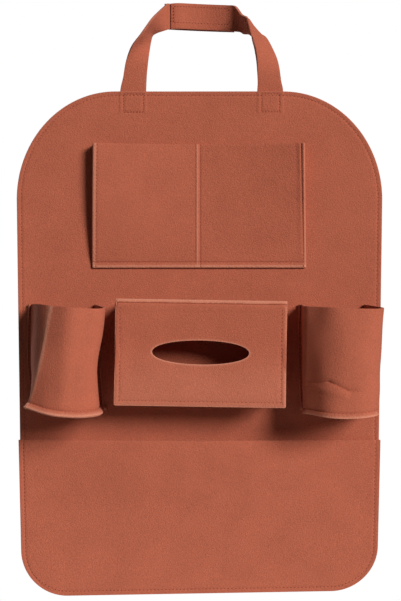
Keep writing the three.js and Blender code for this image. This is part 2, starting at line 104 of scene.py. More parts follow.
@dataclass(frozen=True)
class Ripple:
    """Slow waves over a piece of felt.

    Attributes:
        height: about how high they stand.
        wavelength: their usual length.
        seed: the seed of their directions and phases.
        waves: how many sines they are the sum of.
        spread: the least and the greatest length of a sine, as shares of the usual one.
        scale: what the sum is divided by.
    """

    height: float
    wavelength: float
    seed: int
    waves: int = 6
    spread: Pair = (0.7, 1.5)
    scale: float = 2.5

    def at(self, x: Array, z: Array) -> Array:
        """Height x the sum of the sines sin(k.p + phase), each of its own direction and phase, / scale.

        Args:
            x: places across.
            z: places up or along.

        Returns:
            The waves' height at each place.
        """
        random = np.random.default_rng(self.seed)
        total = np.zeros(np.broadcast(x, z).shape)
        for _ in range(self.waves):
            angle, phase = random.uniform(0.0, 2.0 * math.pi, 2)
            pitch = 2.0 * math.pi / (self.wavelength * random.uniform(*self.spread))
            total += np.sin(pitch * (x * math.cos(angle) + z * math.sin(angle)) + phase)
        return self.height * (total / self.scale)


@dataclass(frozen=True)
class Stripe:
    """A rounded groove, ridge, worn line or painted highlight that follows an edge or a seam.

    Attributes:
        place: its middle's distance from the edge.
        height: how high, deep or worn it is at its middle.
        width: how far from there it has sunk to 1/e.
    """

    place: float
    # height: how high, deep, worn or pale it is at its middle.
    height: float
    width: float

    def at(self, distance: Array) -> Array:
        """Height x bell(distance - place, width)."""
        return self.height * bell(distance - self.place, self.width)


@dataclass(frozen=True)
class Fade:
    """A soft step from 0 to 1 that starts at a distance and is complete a length further on."""

    start: float
    length: float

    def at(self, distance: Array) -> Array:
        """The soft step of (distance - start) / length."""
        return smooth((distance - self.start) / self.length)


def spaced(points: Sequence[float], steps: Sequence[int]) -> Array:
    """Values from the first point to the last, each stretch between two points cut into its own steps."""
    runs = [np.linspace(a, b, n, endpoint=False) for a, b, n in zip(points[:-1], points[1:], steps)]
    return np.concatenate([*runs, [points[-1]]])


def lengths_along(path: Array) -> Array:
    """The distance along a path of points to each of them, from 0."""
    steps = np.linalg.norm(np.diff(path, axis=0), axis=1)
    return np.concatenate([[0.0], np.cumsum(steps)])


def resampled(path: Array, at: Array) -> Array:
    """The points of a path at given distances along it, each coordinate worked out linearly."""
    along = lengths_along(path)
    return np.stack([np.interp(at, along, path[:, i]) for i in range(path.shape[1])], axis=1)


def spline(stations: Array, steps: int) -> Array:
    """A Catmull-Rom curve through stations: the cubic 0.5 (2b + (c-a)t + (2a-5b+4c-d)t^2 + (3b-a-3c+d)t^3).

    Args:
        stations: the points, one a row.
        steps: pieces between two stations.

    Returns:
        The curve's points, one a row.
    """
    before, after = 2 * stations[:1] - stations[1:2], 2 * stations[-1:] - stations[-2:-1]
    padded = np.concatenate([before, stations, after])
    a, b, c, d = (padded[i : len(padded) - 3 + i, None, :] for i in range(4))
    t = np.linspace(0.0, 1.0, steps, endpoint=False)[None, :, None]
    cubic = 2 * b + (c - a) * t + (2 * a - 5 * b + 4 * c - d) * t**2 + (3 * b - a - 3 * c + d) * t**3
    return np.concatenate([0.5 * cubic.reshape(-1, stations.shape[1]), stations[-1:]])


def rounded_run(corners: Array, radii: Array, pieces: Sequence[int], arc: int) -> Array:
    """Plane paths with rounded corners, one for each row of corner points.

    A corner p of radius r, between unit directions u before it and w after it, is the curve
    (1-t)^2 (p - u q) + 2 t (1-t) p + t^2 (p + w q), with q = r tan(turn / 2).

    Args:
        corners: (rows, corners, 2) points, ends included.
        radii: (rows, corners) radii; those of the ends count as 0.
        pieces: the number of pieces of each straight leg.
        arc: the number of pieces of each corner.

    Returns:
        (rows, points, 2) paths.
    """
    legs = np.diff(corners, axis=1)
    way = legs / np.linalg.norm(legs, axis=2, keepdims=True)
    turn = np.arccos(np.clip((way[:, :-1] * way[:, 1:]).sum(axis=2), -1.0, 1.0))
    reach = (radii[:, 1:-1] * np.tan(turn / 2.0))[:, :, None]
    enter, leave = corners[:, 1:-1] - way[:, :-1] * reach, corners[:, 1:-1] + way[:, 1:] * reach
    t = np.linspace(0.0, 1.0, arc, endpoint=False)[None, :, None]
    run, start = [], corners[:, :1]
    for i, count in enumerate(pieces):
        last = i == len(pieces) - 1
        end = corners[:, -1:] if last else enter[:, i : i + 1]
        share = np.linspace(0.0, 1.0, count, endpoint=False)[None, :, None]
        run.append(start + (end - start) * share)
        if last:
            run.append(end)
        else:
            middle, start = corners[:, i + 1 : i + 2], leave[:, i : i + 1]
            run.append((1 - t) ** 2 * end + 2 * t * (1 - t) * middle + t**2 * start)
    return np.concatenate(run, axis=1)


@dataclass
class Seam:
    """A line of stitches on a piece of felt: points on its skin and the skin's outward directions."""

    points: Array
    outward: Array


@dataclass
class Surface:
    """A grid of mid-surface points, rows by columns, with the helpers that seams and dents need."""

    points: Array
    closed: bool = False
    outward: int = 1
    # per-point paleness of worn folds and of painted highlights
    wear_and_highlight: Array | None = None
    pressed: Array | None = None

    def normals(self) -> Array:
        """Unit directions out of the felt: the cross product of the grid's two slopes, turned by outward.

        Returns:
            (rows, columns, 3) directions.
        """
        points = self.points
        if self.closed:
            points = np.concatenate([points[:, -1:], points, points[:, :1]], axis=1)
        down, across = np.gradient(points, axis=0), np.gradient(points, axis=1)
        if self.closed:
            down, across = down[:, 1:-1], across[:, 1:-1]
        cross = np.cross(across, down) * self.outward
        size = np.linalg.norm(cross, axis=2, keepdims=True)
        return cross / np.maximum(size, 1e-9)

    def pushed(self, amount: Array) -> Surface:
        """The surface with each point moved out along its normal by an amount."""
        return replace(self, points=self.points + self.normals() * amount[..., None])

    def seam(self, rows: Array | float, columns: Array | float, lift: float) -> Seam:
        """A line over the grid through fractional rows and columns, a lift above the mid-surface.

        Each point is the bilinear mean of the four grid points round it.

        Args:
            rows: the seam's places down the grid.
            columns: its places across the grid.
            lift: how far it lies from the mid-surface.

        Returns:
            The seam's points, with their directions out of the felt.
        """
        rows, columns = np.broadcast_arrays(np.asarray(rows, float), np.asarray(columns, float))
        height, count = self.points.shape[:2]
        row = np.clip(np.floor(rows).astype(int), 0, height - 2)
        column = np.floor(columns).astype(int)
        if not self.closed:
            column = np.clip(column, 0, count - 2)
        v, u = (rows - row)[:, None], (columns - column)[:, None]
        here, beside = column % count, (column + 1) % count

        def at(grid: Array) -> Array:
            """The grid's value at each place, worked out linearly both ways."""
            upper = mix(grid[row, here], grid[row, beside], u)
            return mix(upper, mix(grid[row + 1, here], grid[row + 1, beside], u), v)

        outward = at(self.normals())
        return Seam(at(self.points) + outward * lift, outward)


def cell_corners(rows: int, columns: int, closed: bool) -> Array:
    """Corner numbers of a grid's cells: r C + c, r C + c + 1, (r + 1) C + c + 1 and (r + 1) C + c.

    Args:
        rows: the grid's rows of points.
        columns: its columns.
        closed: whether its last column meets its first.

    Returns:
        (cells, 4) numbers.
    """
    number = np.arange(rows * columns).reshape(rows, columns)
    if closed:
        number = np.concatenate([number, number[:, :1]], axis=1)
    cells = [number[:-1, :-1], number[:-1, 1:], number[1:, 1:], number[1:, :-1]]
    return np.stack(cells, axis=-1).reshape(-1, 4)


def linked(name: str, data: bpy.types.ID) -> bpy.types.Object:
    """A new object of the scene that shows some data.

    Args:
        name: the object's name.
        data: its mesh, light or camera.

    Returns:
        The object, linked to the scene.
    """
    made = bpy.data.objects.new(name, data)
    bpy.context.scene.collection.objects.link(made)
    return made


def mesh_object(name: str, points: Array, faces: Array, **values: Array) -> bpy.types.Object:
    """Puts millimetre points and their faces into a new smooth mesh object.

    Args:
        name: the piece's name.
        points: (n, 3) points.
        faces: (m, k) corner numbers.
        values: named values of 0 to 1, one at each point.

    Returns:
        The linked object, with equal points joined and, where it has no values, its faces turned outwards.
    """
    mesh = bpy.data.meshes.new(name)
    mesh.from_pydata((points * METRES).tolist(), [], faces.tolist())
    for label, value in values.items():
        mesh.attributes.new(label, "FLOAT", "POINT").data.foreach_set("value", value)
    bench = bmesh.new()
    bench.from_mesh(mesh)
    bmesh.ops.remove_doubles(bench, verts=bench.verts, dist=MERGE_METRES)
    if not values:
        bmesh.ops.recalc_face_normals(bench, faces=bench.faces)
    bench.to_mesh(mesh)
    bench.free()
    mesh.polygons.foreach_set("use_smooth", np.ones(len(mesh.polygons), dtype=bool))
    return linked(name, mesh)


# Finishes


def linear(levels: Sequence[float]) -> tuple[float, ...]:
    """The linear light of a colour's sRGB levels from 0 to 255, with full alpha."""
    shares = [level / 255.0 for level in levels]
    return (*(s / 12.92 if s <= 0.04045 else ((s + 0.055) / 1.055) ** 2.4 for s in shares), 1.0)


@dataclass(frozen=True)
class FeltFinish:
    """Pressed felt: fine fibres, slow mottling, a soft sheen, and paler where it is folded or cut, and where
    highlights are painted on.

    Attributes:
        colour: the felt's colour in sRGB levels.
        worn_and_lit: its paler colour where a fold has opened its fibres, which painted highlights use too.
        grain: how far the fibres vary its brightness.
        relief: the height of the fibres, in millimetres.
        calm: how many times less the patches vary its brightness than the fibres do.
        bump_share: the scale of the fibres' relief, as a share of theirs.
        detail: the octaves of the two colour noises, and of the relief.
        noise_range: the usual darkest and lightest value of a noise.
        sheen: the weight and the roughness of its sheen.
    """

    name: str
    colour: tuple[float, float, float]
    worn_and_lit: tuple[float, float, float]
    grain: float = 0.16
    relief: float = 0.35
    calm: float = 3.0
    fibres_per_metre: float = 900.0
    patches_per_metre: float = 28.0
    bump_share: float = 0.8
    detail: Pair = (3.0, 4.0)
    noise_range: Pair = (0.3, 0.7)
    noise_roughness: float = 0.6
    roughness: float = 0.93
    specular: float = 0.15
    sheen: Pair = (0.12, 0.6)

    def build(self) -> bpy.types.Material:
        """Makes the material: colour = mix(felt, worn_and_lit, wear_and_highlight) x fibre noise x patch
        noise, with fibre bumps; the mask blends in worn folds and painted highlights.

        Returns:
            The material.
        """
        material = bpy.data.materials.new(self.name)
        material.use_nodes = True
        tree = material.node_tree
        nodes, links = tree.nodes, tree.links
        bsdf = nodes["Principled BSDF"]
        weight, roughness = self.sheen
        shine = {"Roughness": self.roughness, "Specular IOR Level": self.specular}
        shine |= {"Sheen Tint": linear(self.worn_and_lit), "Sheen Weight": weight, "Sheen Roughness": roughness}
        for label, value in shine.items():
            bsdf.inputs[label].default_value = value
        place = nodes.new("ShaderNodeTexCoord").outputs["Object"]

        def noise(scale: float, detail: float, spread: Pair) -> bpy.types.NodeSocket:
            """Noise over the object, spread from low to high between its usual darkest and lightest.

            Args:
                scale: the noise's scale.
                detail: its octaves.
                spread: the low and the high value.

            Returns:
                The socket that gives it.
            """
            texture, ranged = nodes.new("ShaderNodeTexNoise"), nodes.new("ShaderNodeMapRange")
            for label, value in (("Scale", scale), ("Detail", detail), ("Roughness", self.noise_roughness)):
                texture.inputs[label].default_value = value
            labels = ("From Min", "From Max", "To Min", "To Max")
            for label, value in zip(labels, (*self.noise_range, *spread)):
                ranged.inputs[label].default_value = value
            ranged.clamp = False
            links.new(place, texture.inputs["Vector"])
            links.new(texture.outputs["Fac"], ranged.inputs["Value"])
            return ranged.outputs["Result"]

        shades = (self.fibres_per_metre, self.grain), (self.patches_per_metre, self.grain / self.calm)
        fibres, patches = (noise(scale, self.detail[0], (1.0 - vary, 1.0 + vary)) for scale, vary in shades)
        # mask of worn folds and of painted highlights, which pales the colour
        wear_and_highlight = nodes.new("ShaderNodeAttribute")
        wear_and_highlight.attribute_name = "wear_and_highlight"
        blend = nodes.new("ShaderNodeMix")
        blend.data_type = "RGBA"
        links.new(wear_and_highlight.outputs["Fac"], blend.inputs["Factor"])
        for label, colour in (("A", self.colour), ("B", self.worn_and_lit)):
            socket = next(s for s in blend.inputs if s.name == label and s.type == "RGBA")
            socket.default_value = linear(colour)
        shade = next(s for s in blend.outputs if s.type == "RGBA")
        for factor in (fibres, patches):
            scaled = nodes.new("ShaderNodeVectorMath")
            scaled.operation = "SCALE"
            links.new(shade, scaled.inputs[0])
            links.new(factor, scaled.inputs["Scale"])
            shade = scaled.outputs["Vector"]
        links.new(shade, bsdf.inputs["Base Color"])
        bump = nodes.new("ShaderNodeBump")
        bump.inputs["Strength"].default_value = 1.0
        bump.inputs["Distance"].default_value = self.relief * METRES
        height = noise(self.fibres_per_metre * self.bump_share, self.detail[1], (0.0, 1.0))
        links.new(height, bump.inputs["Height"])
        links.new(bump.outputs["Normal"], bsdf.inputs["Normal"])
        return material


@dataclass(frozen=True)
class Finishes:
    """The finishes of the organizer, each made once."""

    felt: bpy.types.Material
    cut_edge: bpy.types.Material
    thread: bpy.types.Material
    tape: bpy.types.Material

    @classmethod
    def mixed(cls) -> Finishes:
        """Makes the terracotta felt, its cut edge, the sewing thread, darker than the felt as painted shade
        of its dents, and the fastening tape.

        Returns:
            The four finishes.
        """
        # the second colour pales worn folds and painted highlights
        felt = FeltFinish("terracotta_felt", (176, 94, 70), (216, 144, 117))
        return cls(
            felt=felt.build(),
            cut_edge=replace(felt, name="cut_felt_edge", colour=(186, 110, 88), relief=0.5).build(),
            # the thread's dark colour is painted shade of the dents that the stitches sink into
            thread=replace(felt, name="sewing_thread_painted_shade", colour=(116, 50, 36), grain=0.1, relief=0.1).build(),
            tape=replace(felt, name="fastening_tape", colour=(150, 74, 54), grain=0.25, relief=0.8).build(),
        )


# Felt and thread


@dataclass
class FeltPiece:
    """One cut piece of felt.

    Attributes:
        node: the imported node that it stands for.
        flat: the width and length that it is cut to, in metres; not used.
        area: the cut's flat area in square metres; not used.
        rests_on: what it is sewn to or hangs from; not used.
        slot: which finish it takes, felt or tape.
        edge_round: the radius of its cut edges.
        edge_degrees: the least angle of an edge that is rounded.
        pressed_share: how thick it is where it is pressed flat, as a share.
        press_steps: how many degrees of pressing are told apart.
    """

    name: str
    node: str
    flat: Pair
    area: float
    thickness: float = POCKET_FELT
    held: Held = Held.STRETCHED
    rests_on: Sequence[str] = ("felt_panel",)
    slot: str = "felt"
    edge_round: float = 0.55
    edge_degrees: float = 55.0
    edge_segments: int = 2
    pressed_share: float = 0.4
    press_steps: int = 8

    def press(self, made: bpy.types.Object) -> None:
        """Turns the mesh's pressed values, in steps, into the vertex group that thins the felt.

        Args:
            made: the piece, whose mesh holds the values.
        """
        values = np.zeros(len(made.data.vertices))
        made.data.attributes["pressed"].data.foreach_get("value", values)
        group = made.vertex_groups.new(name="pressed")
        for step in range(1, self.press_steps + 1):
            found = np.flatnonzero(np.rint(values * self.press_steps) == step)
            group.add(found.tolist(), step / self.press_steps, "REPLACE")

    def build(self, finishes: Finishes, *surfaces: Surface) -> None:
        """Args:
            finishes: the organizer's finishes.
            surfaces: the grids of the felt's mid-surface, which share the points where they meet.
        """
        points, faces, start = [], [], 0
        values: dict[str, list[Array]] = {"wear_and_highlight": [], "pressed": []}
        for surface in surfaces:
            rows, columns = surface.points.shape[:2]
            points.append(surface.points.reshape(-1, 3))
            faces.append(cell_corners(rows, columns, surface.closed) + start)
            for label, value in (("wear_and_highlight", surface.wear_and_highlight), ("pressed", surface.pressed)):
                known = 0.0 if value is None else value
                values[label].append(np.broadcast_to(known, (rows, columns)).ravel())
            start += rows * columns
        joined = {label: np.concatenate(parts) for label, parts in values.items()}
        made = mesh_object(self.name, np.concatenate(points), np.concatenate(faces), **joined)
        self.press(made)
        skins = made.modifiers.new("thickness", "SOLIDIFY")
        skins.thickness = self.thickness * METRES
        skins.offset = 0.0
        skins.use_even_offset = True
        skins.material_offset_rim = 1
        skins.vertex_group = "pressed"
        skins.invert_vertex_group = True
        skins.thickness_vertex_group = self.pressed_share
        edges = made.modifiers.new("cut_edges", "BEVEL")
        edges.width = self.edge_round * METRES
        edges.segments = self.edge_segments
        edges.limit_method = "ANGLE"
        edges.angle_limit = math.radians(self.edge_degrees)
        edges.material = 1
        made.data.materials.append(finishes.tape if self.slot == "tape" else finishes.felt)
        made.data.materials.append(finishes.cut_edge)
        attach(made, "root")
        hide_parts(self.node)
        list(self.rests_on)
        log.info("%s: %d points", self.name, start)


@dataclass
class Stitching:
    """Lockstitches of one thread: short round-ended lengths whose two ends dive into the felt.

    Attributes:
        pitch: the distance from one stitch to the next.
        length: a stitch's visible length.
        radius: the thread's radius.
        sunk: how far a stitch's ends dive.
        shares: where its rings lie, from one end at -1 to the other at 1.
        swells: the radius of each ring, as a share.
    """

    name: str
    pitch: float = 4.0
    length: float = 3.0
    radius: float = 0.48
    sunk: float = 0.7
    sides: int = 6
    shares: tuple[float, ...] = (-1.0, -0.8, -0.3, 0.3, 0.8, 1.0)
    swells: tuple[float, ...] = (0.25, 0.8, 1.0, 1.0, 0.8, 0.25)

    def build(self, seams: Sequence[Seam], finishes: Finishes) -> None:
        """Sews the seams: a stitch's point at share s of its length and angle a is centre + s L/2 along
        + r(s) cos(a) sideways + (r(s) sin(a) - sunk s^2) outward.

        Args:
            seams: the lines to sew.
            finishes: the organizer's finishes.
        """
        angle = np.linspace(0.0, 2.0 * math.pi, self.sides, endpoint=False)
        share, swell = np.repeat(self.shares, self.sides), np.array(self.swells)
        along = share * self.length / 2.0
        sideways = np.outer(swell, np.cos(angle)).ravel() * self.radius
        outward = np.outer(swell, np.sin(angle)).ravel() * self.radius - self.sunk * share**2
        tube = cell_corners(len(self.shares), self.sides, True)
        odd = np.arange(1, self.sides - 1, 2)
        cap = np.stack([0 * odd, odd, odd + 1, odd + 2], axis=1)
        shape = np.concatenate([tube, cap[:, ::-1], cap + (len(self.shares) - 1) * self.sides])
        centres, ways, ups = [], [], []
        for seam in seams:
            turned = lengths_along(seam.points)
            total = turned[-1]
            count = max(1, int(total / self.pitch))
            at = (np.arange(count) + 0.5) * total / count
            centres.append(resampled(seam.points, at))
            ahead, behind = (resampled(seam.points, np.clip(at + d, 0, total)) for d in (1.0, -1.0))
            ways.append(ahead - behind)
            ups.append(np.stack([np.interp(at, turned, seam.outward[:, i]) for i in range(3)], axis=1))
        centre, way, up = (np.concatenate(part) for part in (centres, ways, ups))
        way /= np.linalg.norm(way, axis=1, keepdims=True)
        side = np.cross(way, up)
        side /= np.linalg.norm(side, axis=1, keepdims=True)
        up = np.cross(side, way)
        points = (
            centre[:, None]
            + way[:, None] * along[None, :, None]
            + side[:, None] * sideways[None, :, None]
            + up[:, None] * outward[None, :, None]
        )
        faces = (shape[None] + np.arange(len(centre))[:, None, None] * len(along)).reshape(-1, 4)
        made = mesh_object(self.name, points.reshape(-1, 3), faces)
        made.data.materials.append(finishes.thread)
        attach(made, "root")
        log.info("%s: %d stitches", self.name, len(centre))


# The organizer's parts


@dataclass
class Outline:
    """The panel's outline, which the magazine pocket follows too: large shoulders, a taper below the middle,
    round foot corners, and a foot that rises to the right.

    Attributes:
        taper: how much narrower each side is at the foot.
        foot_skew: how much higher the foot is at its right.
        coarse: the distance between the outline's points.
        fine: their distance on the stretches of the top edge that carry the strap.
        strap_stretch: those stretches' nearest and farthest distance from the middle.
        strap_depth: how far below the top edge they reach.
        sample: the distance between the points that the outline is first worked out at.
    """

    width: float = 400.0
    height: float = 552.0
    taper: float = 6.5
    shoulder_width: float = 108.0
    shoulder_height: float = 118.0
    foot_corner: float = 50.0
    foot_skew: float = 7.0
    magazine_height: float = 171.0
    coarse: float = 2.7
    fine: float = 1.1
    strap_stretch: Pair = (50.0, 100.0)
    strap_depth: float = 6.0
    sample: float = 0.2
    foot_samples: int = 400
    shoulder_samples: int = 500

    @property
    def top(self) -> float:
        """The height of the panel's top edge."""
        return self.height / 2.0

    def half_width(self, height: Array) -> Array:
        """Half the width at a height: the side less a quarter ellipse at the shoulder and one at the foot.

        Args:
            height: heights above the panel's middle.

        Returns:
            Half the width at each of them.
        """
        side = self.width / 2.0 - self.taper * np.clip(-height / self.top, 0.0, 1.0)
        into_shoulder = np.clip((height - self.top + self.shoulder_height) / self.shoulder_height, 0.0, 1.0)
        into_foot = np.clip((self.foot_corner - self.top - height) / self.foot_corner, 0.0, 1.0)
        shoulder = self.shoulder_width * (1.0 - np.sqrt(1.0 - into_shoulder**2))
        return side - shoulder - self.foot_corner * (1.0 - np.sqrt(1.0 - into_foot**2))

    def lift(self, x: Array, height: Array) -> Array:
        """How far the skewed foot raises a point: skew x (share below the pocket's top) x (share across)."""
        low = np.clip((self.magazine_height - self.top - height) / self.magazine_height, 0.0, 1.0)
        return self.foot_skew * low * np.clip(x / self.width + 0.5, 0.0, 1.0)

    def corner_heights(self, count: int) -> Array:
        """Heights close together round the foot corners: foot + corner (1 - cos a)."""
        return self.foot_corner * (1.0 - np.cos(np.linspace(0.0, math.pi / 2.0, count))) - self.top

    def path(self) -> Array:
        """The closed outline before its skew, from the middle of the foot up the right side and down the
        left. Points lie a coarse step apart, and a fine one where the top edge carries the strap.

        Returns:
            (points, 2) places across and up.
        """
        foot = self.corner_heights(self.foot_samples)
        angle = np.linspace(0.0, math.pi / 2.0, self.shoulder_samples)
        shoulder = self.top - self.shoulder_height + self.shoulder_height * np.sin(angle)
        heights = np.concatenate([foot, shoulder])
        side = np.stack([self.half_width(heights), heights], axis=1)
        half = np.concatenate([[[0.0, -self.top]], side, [[0.0, self.top]]])
        total = lengths_along(half)[-1]
        dense = resampled(half, np.linspace(0.0, total, int(total / self.sample)))
        nearest, farthest = self.strap_stretch
        carries = (dense[:, 1] > self.top - self.strap_depth) & (dense[:, 0] > nearest)
        carries &= dense[:, 0] < farthest
        density = np.where(carries, 1.0 / self.fine, 1.0 / self.coarse)
        count = np.cumsum(density) * self.sample
        wanted = np.arange(0, int(count[-1]) + 1) * count[-1] / int(count[-1])
        right = np.stack([np.interp(wanted, count, dense[:, i]) for i in range(2)], axis=1)
        right[0, 0] = right[-1, 0] = 0.0
        left = right[-2:0:-1] * np.array([-1.0, 1.0])
        return np.concatenate([right, left])

    def rings(self, distances: Array, shares: Array) -> Array:
        """Rings of points inwards from the outline: p - n d for each distance, then the last of them shrunk
        towards the middle by each share.

        Args:
            distances: how far in each ring lies.
            shares: the sizes of the rings that follow, as shares of the last of those.

        Returns:
            (points round, rings, 2) points before the skew.
        """
        path = self.path()
        along = np.roll(path, -1, axis=0) - np.roll(path, 1, axis=0)
        along /= np.linalg.norm(along, axis=1, keepdims=True)
        inwards = np.stack([-along[:, 1], along[:, 0]], axis=1)
        near = path[:, None] + inwards[:, None] * distances[None, :, None]
        far = near[:, -1:] * shares[None, :, None]
        return np.concatenate([near, far], axis=1)


@dataclass
class BackPanel:
    """The backing sheet, with the strap's ends sewn to its rear and a line of stitches round its edge.

    Attributes:
        inner_insets: how far in the rings lie that follow those of the edge.
        shrinks: the sizes of the innermost rings, as shares of the last of those.
        imprint: how far the strap's ends push the panel forward.
        softness: how soft the edge of that is.
        boxes: the squares of stitches that hold them: left, right, low and high.
        seam_start: how far above the magazine pocket the stitches round the edge start.
    """

    outline: Outline
    seam: Stripe = Stripe(4.8, 0.55, 1.1)
    waves: Ripple = Ripple(0.25, 110.0, 3)
    strap_width: float = 28.5
    strap_tail: float = 23.0
    strap_feet: Pair = (-72.8, 77.6)
    imprint: float = 0.5
    softness: float = 1.6
    boxes: tuple[tuple[float, float, float, float], ...] = (
        (-83.2, -61.6, 253.4, 273.0),
        (67.6, 87.2, 253.6, 273.4),
    )
    seam_start: float = 1.0
    box_groove: Stripe = Stripe(0.0, 0.7, 1.0)
    box_points: int = 60
    inner_insets: tuple[float, ...] = tuple(np.arange(7.9, 27.0, 1.25))
    shrinks: tuple[float, ...] = (0.96, 0.9, 0.83, 0.75, 0.66, 0.57, 0.48, 0.39, 0.3, 0.21, 0.12, 0.05, 0.0)

    def surface(self) -> tuple[Surface, int]:
        """The panel's mid-surface on rings: y = -(1.5 + waves + strap imprint - grooves).

        Returns:
            The mid-surface, and the number of the ring that carries the edge's stitches.
        """
        distances = np.array([*EDGE_INSETS, *self.inner_insets])
        flat = self.outline.rings(distances, np.array(self.shrinks))
        x, z = flat[..., 0], flat[..., 1]
        depth = np.append(distances, np.full(len(self.shrinks), np.inf))
        forward = PANEL_FELT / 2.0 - self.seam.at(depth)[None, :]
        forward = forward + self.waves.at(x, z)
        step = Fade(-self.softness / 2.0, self.softness)
        for foot in self.strap_feet:
            across = 1.0 - step.at(np.abs(x - foot) - self.strap_width / 2.0)
            forward += self.imprint * across * step.at(z - self.outline.top + self.strap_tail)
        for left, right, low, high in self.boxes:
            beside = np.abs(x - (left + right) / 2) - (right - left) / 2
            above = np.abs(z - (low + high) / 2) - (high - low) / 2
            forward -= self.box_groove.at(np.maximum(beside, above))
        points = np.stack([x, -forward, z + self.outline.lift(x, z)], axis=-1)
        ring = int(np.argmin(np.abs(distances - self.seam.place)))
        return Surface(points.transpose(1, 0, 2), closed=True), ring

    def box_seams(self) -> list[Seam]:
        """The squares of stitches that hold the strap's ends.

        Returns:
            A closed seam for each of them.
        """
        seams = []
        for left, right, low, high in self.boxes:
            corners = np.array([[left, low], [right, low], [right, high], [left, high], [left, low]])
            path = resampled(corners, np.linspace(0.0, lengths_along(corners)[-1], self.box_points))
            skin = np.full(self.box_points, 2.0 * THREAD_SINK - PANEL_FELT)
            outward = np.tile([0.0, -1.0, 0.0], (self.box_points, 1))
            seams.append(Seam(np.stack([path[:, 0], skin, path[:, 1]], axis=1), outward))
        return seams

    def build(self, finishes: Finishes) -> None:
        """Builds the panel and its stitches.

        Args:
            finishes: the organizer's finishes.
        """
        surface, ring = self.surface()
        straps = ("left_strap_felt", "right_strap_felt")
        piece = FeltPiece("felt_panel", "back_panel", (0.400, 0.552), 0.2107, PANEL_FELT, Held.HUNG, straps)
        piece.build(finishes, surface)
        height = surface.points[ring, :, 2]
        covered = int(np.argmax(height > self.outline.magazine_height - self.outline.top + self.seam_start))
        lift = PANEL_FELT / 2.0 - THREAD_SINK
        front = surface.seam(ring, np.arange(covered, len(height) - covered + 1), lift)
        rear = surface.seam(ring, np.arange(len(height) + 1), -lift)
        rear.outward = -rear.outward
        Stitching("panel_edge_stitches").build([front, rear], finishes)
        Stitching("strap_box_stitches", pitch=3.2, length=2.4).build(self.box_seams(), finishes)


@dataclass
class MagazinePocket:
    """The sheet across the panel's foot, which stands off it towards its open top edge."""

    outline: Outline
    bulge: float = 9.0
    hem: float = 6.0
    side_insets: tuple[float, ...] = (*EDGE_INSETS, 7.9, 9.5, 12.0, 15.0)
    corner_rows: int = 34
    straight_rows: int = 40
    half_columns: int = 26
    groove: Stripe = Stripe(4.8, 0.6, 1.1)
    waves: Ripple = Ripple(0.35, 90.0, 7)
    waves_fade: Fade = Fade(0.0, 30.0)
    seam_end: float = 2.0

    def surface(self) -> Surface:
        """The mid-surface, forward = seat + bulge s(rise) (1 - a^2)^2 - groove + waves, at a share a across.

        Returns:
            The mid-surface, from the foot up and from left to right.
        """
        top = self.outline.magazine_height - self.outline.top
        corner = self.outline.corner_heights(self.corner_rows)
        heights = np.concatenate([corner, np.linspace(corner[-1], top, self.straight_rows)[1:]])[:, None]
        half = self.outline.half_width(heights)
        left = -1.0 + np.array(self.side_insets)[None, :] / half
        inner = left[:, -1:] + (1.0 - left[:, -1:]) * np.linspace(0.0, 1.0, self.half_columns)[None, 1:]
        middle = np.zeros((len(heights), 1))
        across = np.concatenate([left, inner[:, :-1], middle, -inner[:, -2::-1], -left[:, ::-1]], axis=1)
        across = np.sort(np.clip(across, -1.0, 1.0), axis=1)
        x = across * half
        z = np.broadcast_to(heights, x.shape)
        above_hem = z + self.outline.top - self.hem
        rise = np.clip(above_hem / (self.outline.magazine_height - self.hem), 0.0, 1.0)
        bulge = self.bulge * smooth(rise) * (1.0 - across**2) ** 2
        reach = np.minimum(half - np.abs(x), z + self.outline.top)
        forward = SEAT_MIDDLE + bulge - self.groove.at(reach)
        forward = forward + self.waves.at(x, z) * self.waves_fade.at(reach)
        return Surface(np.stack([x, -forward, z + self.outline.lift(x, z)], axis=-1))

    def build(self, finishes: Finishes) -> None:
        """Builds the pocket's sheet and its stitches.

        Args:
            finishes: the organizer's finishes.
        """
        surface = self.surface()
        FeltPiece("magazine_pocket_felt", "magazine_pocket", (0.395, 0.171), 0.0645).build(finishes, surface)
        Stitching("magazine_pocket_stitches").build([self.seam(surface)], finishes)

    def seam(self, surface: Surface) -> Seam:
        """The stitches down the left edge, across the foot and up the right edge, an inset from each.

        Args:
            surface: the pocket's mid-surface.

        Returns:
            The one seam.
        """
        x = surface.points[..., 0]
        z = surface.points[..., 2] - self.outline.lift(x, surface.points[..., 2])
        inset = self.outline.rings(np.array([self.groove.place]), np.array([]))[:, 0]
        turned = np.roll(inset, len(inset) // 2, axis=0)
        line = turned[turned[:, 1] < self.outline.magazine_height - self.outline.top - self.seam_end]
        half = self.outline.half_width(line[:, 1])
        rows = np.interp(line[:, 1], z[:, 0], np.arange(len(z)))
        middle = len(z) // 2
        shares = x[middle] / self.outline.half_width(surface.points[middle, :1, 2])
        columns = np.interp(line[:, 0] / half, shares, np.arange(x.shape[1]))
        return surface.seam(rows, columns, POCKET_THREAD)


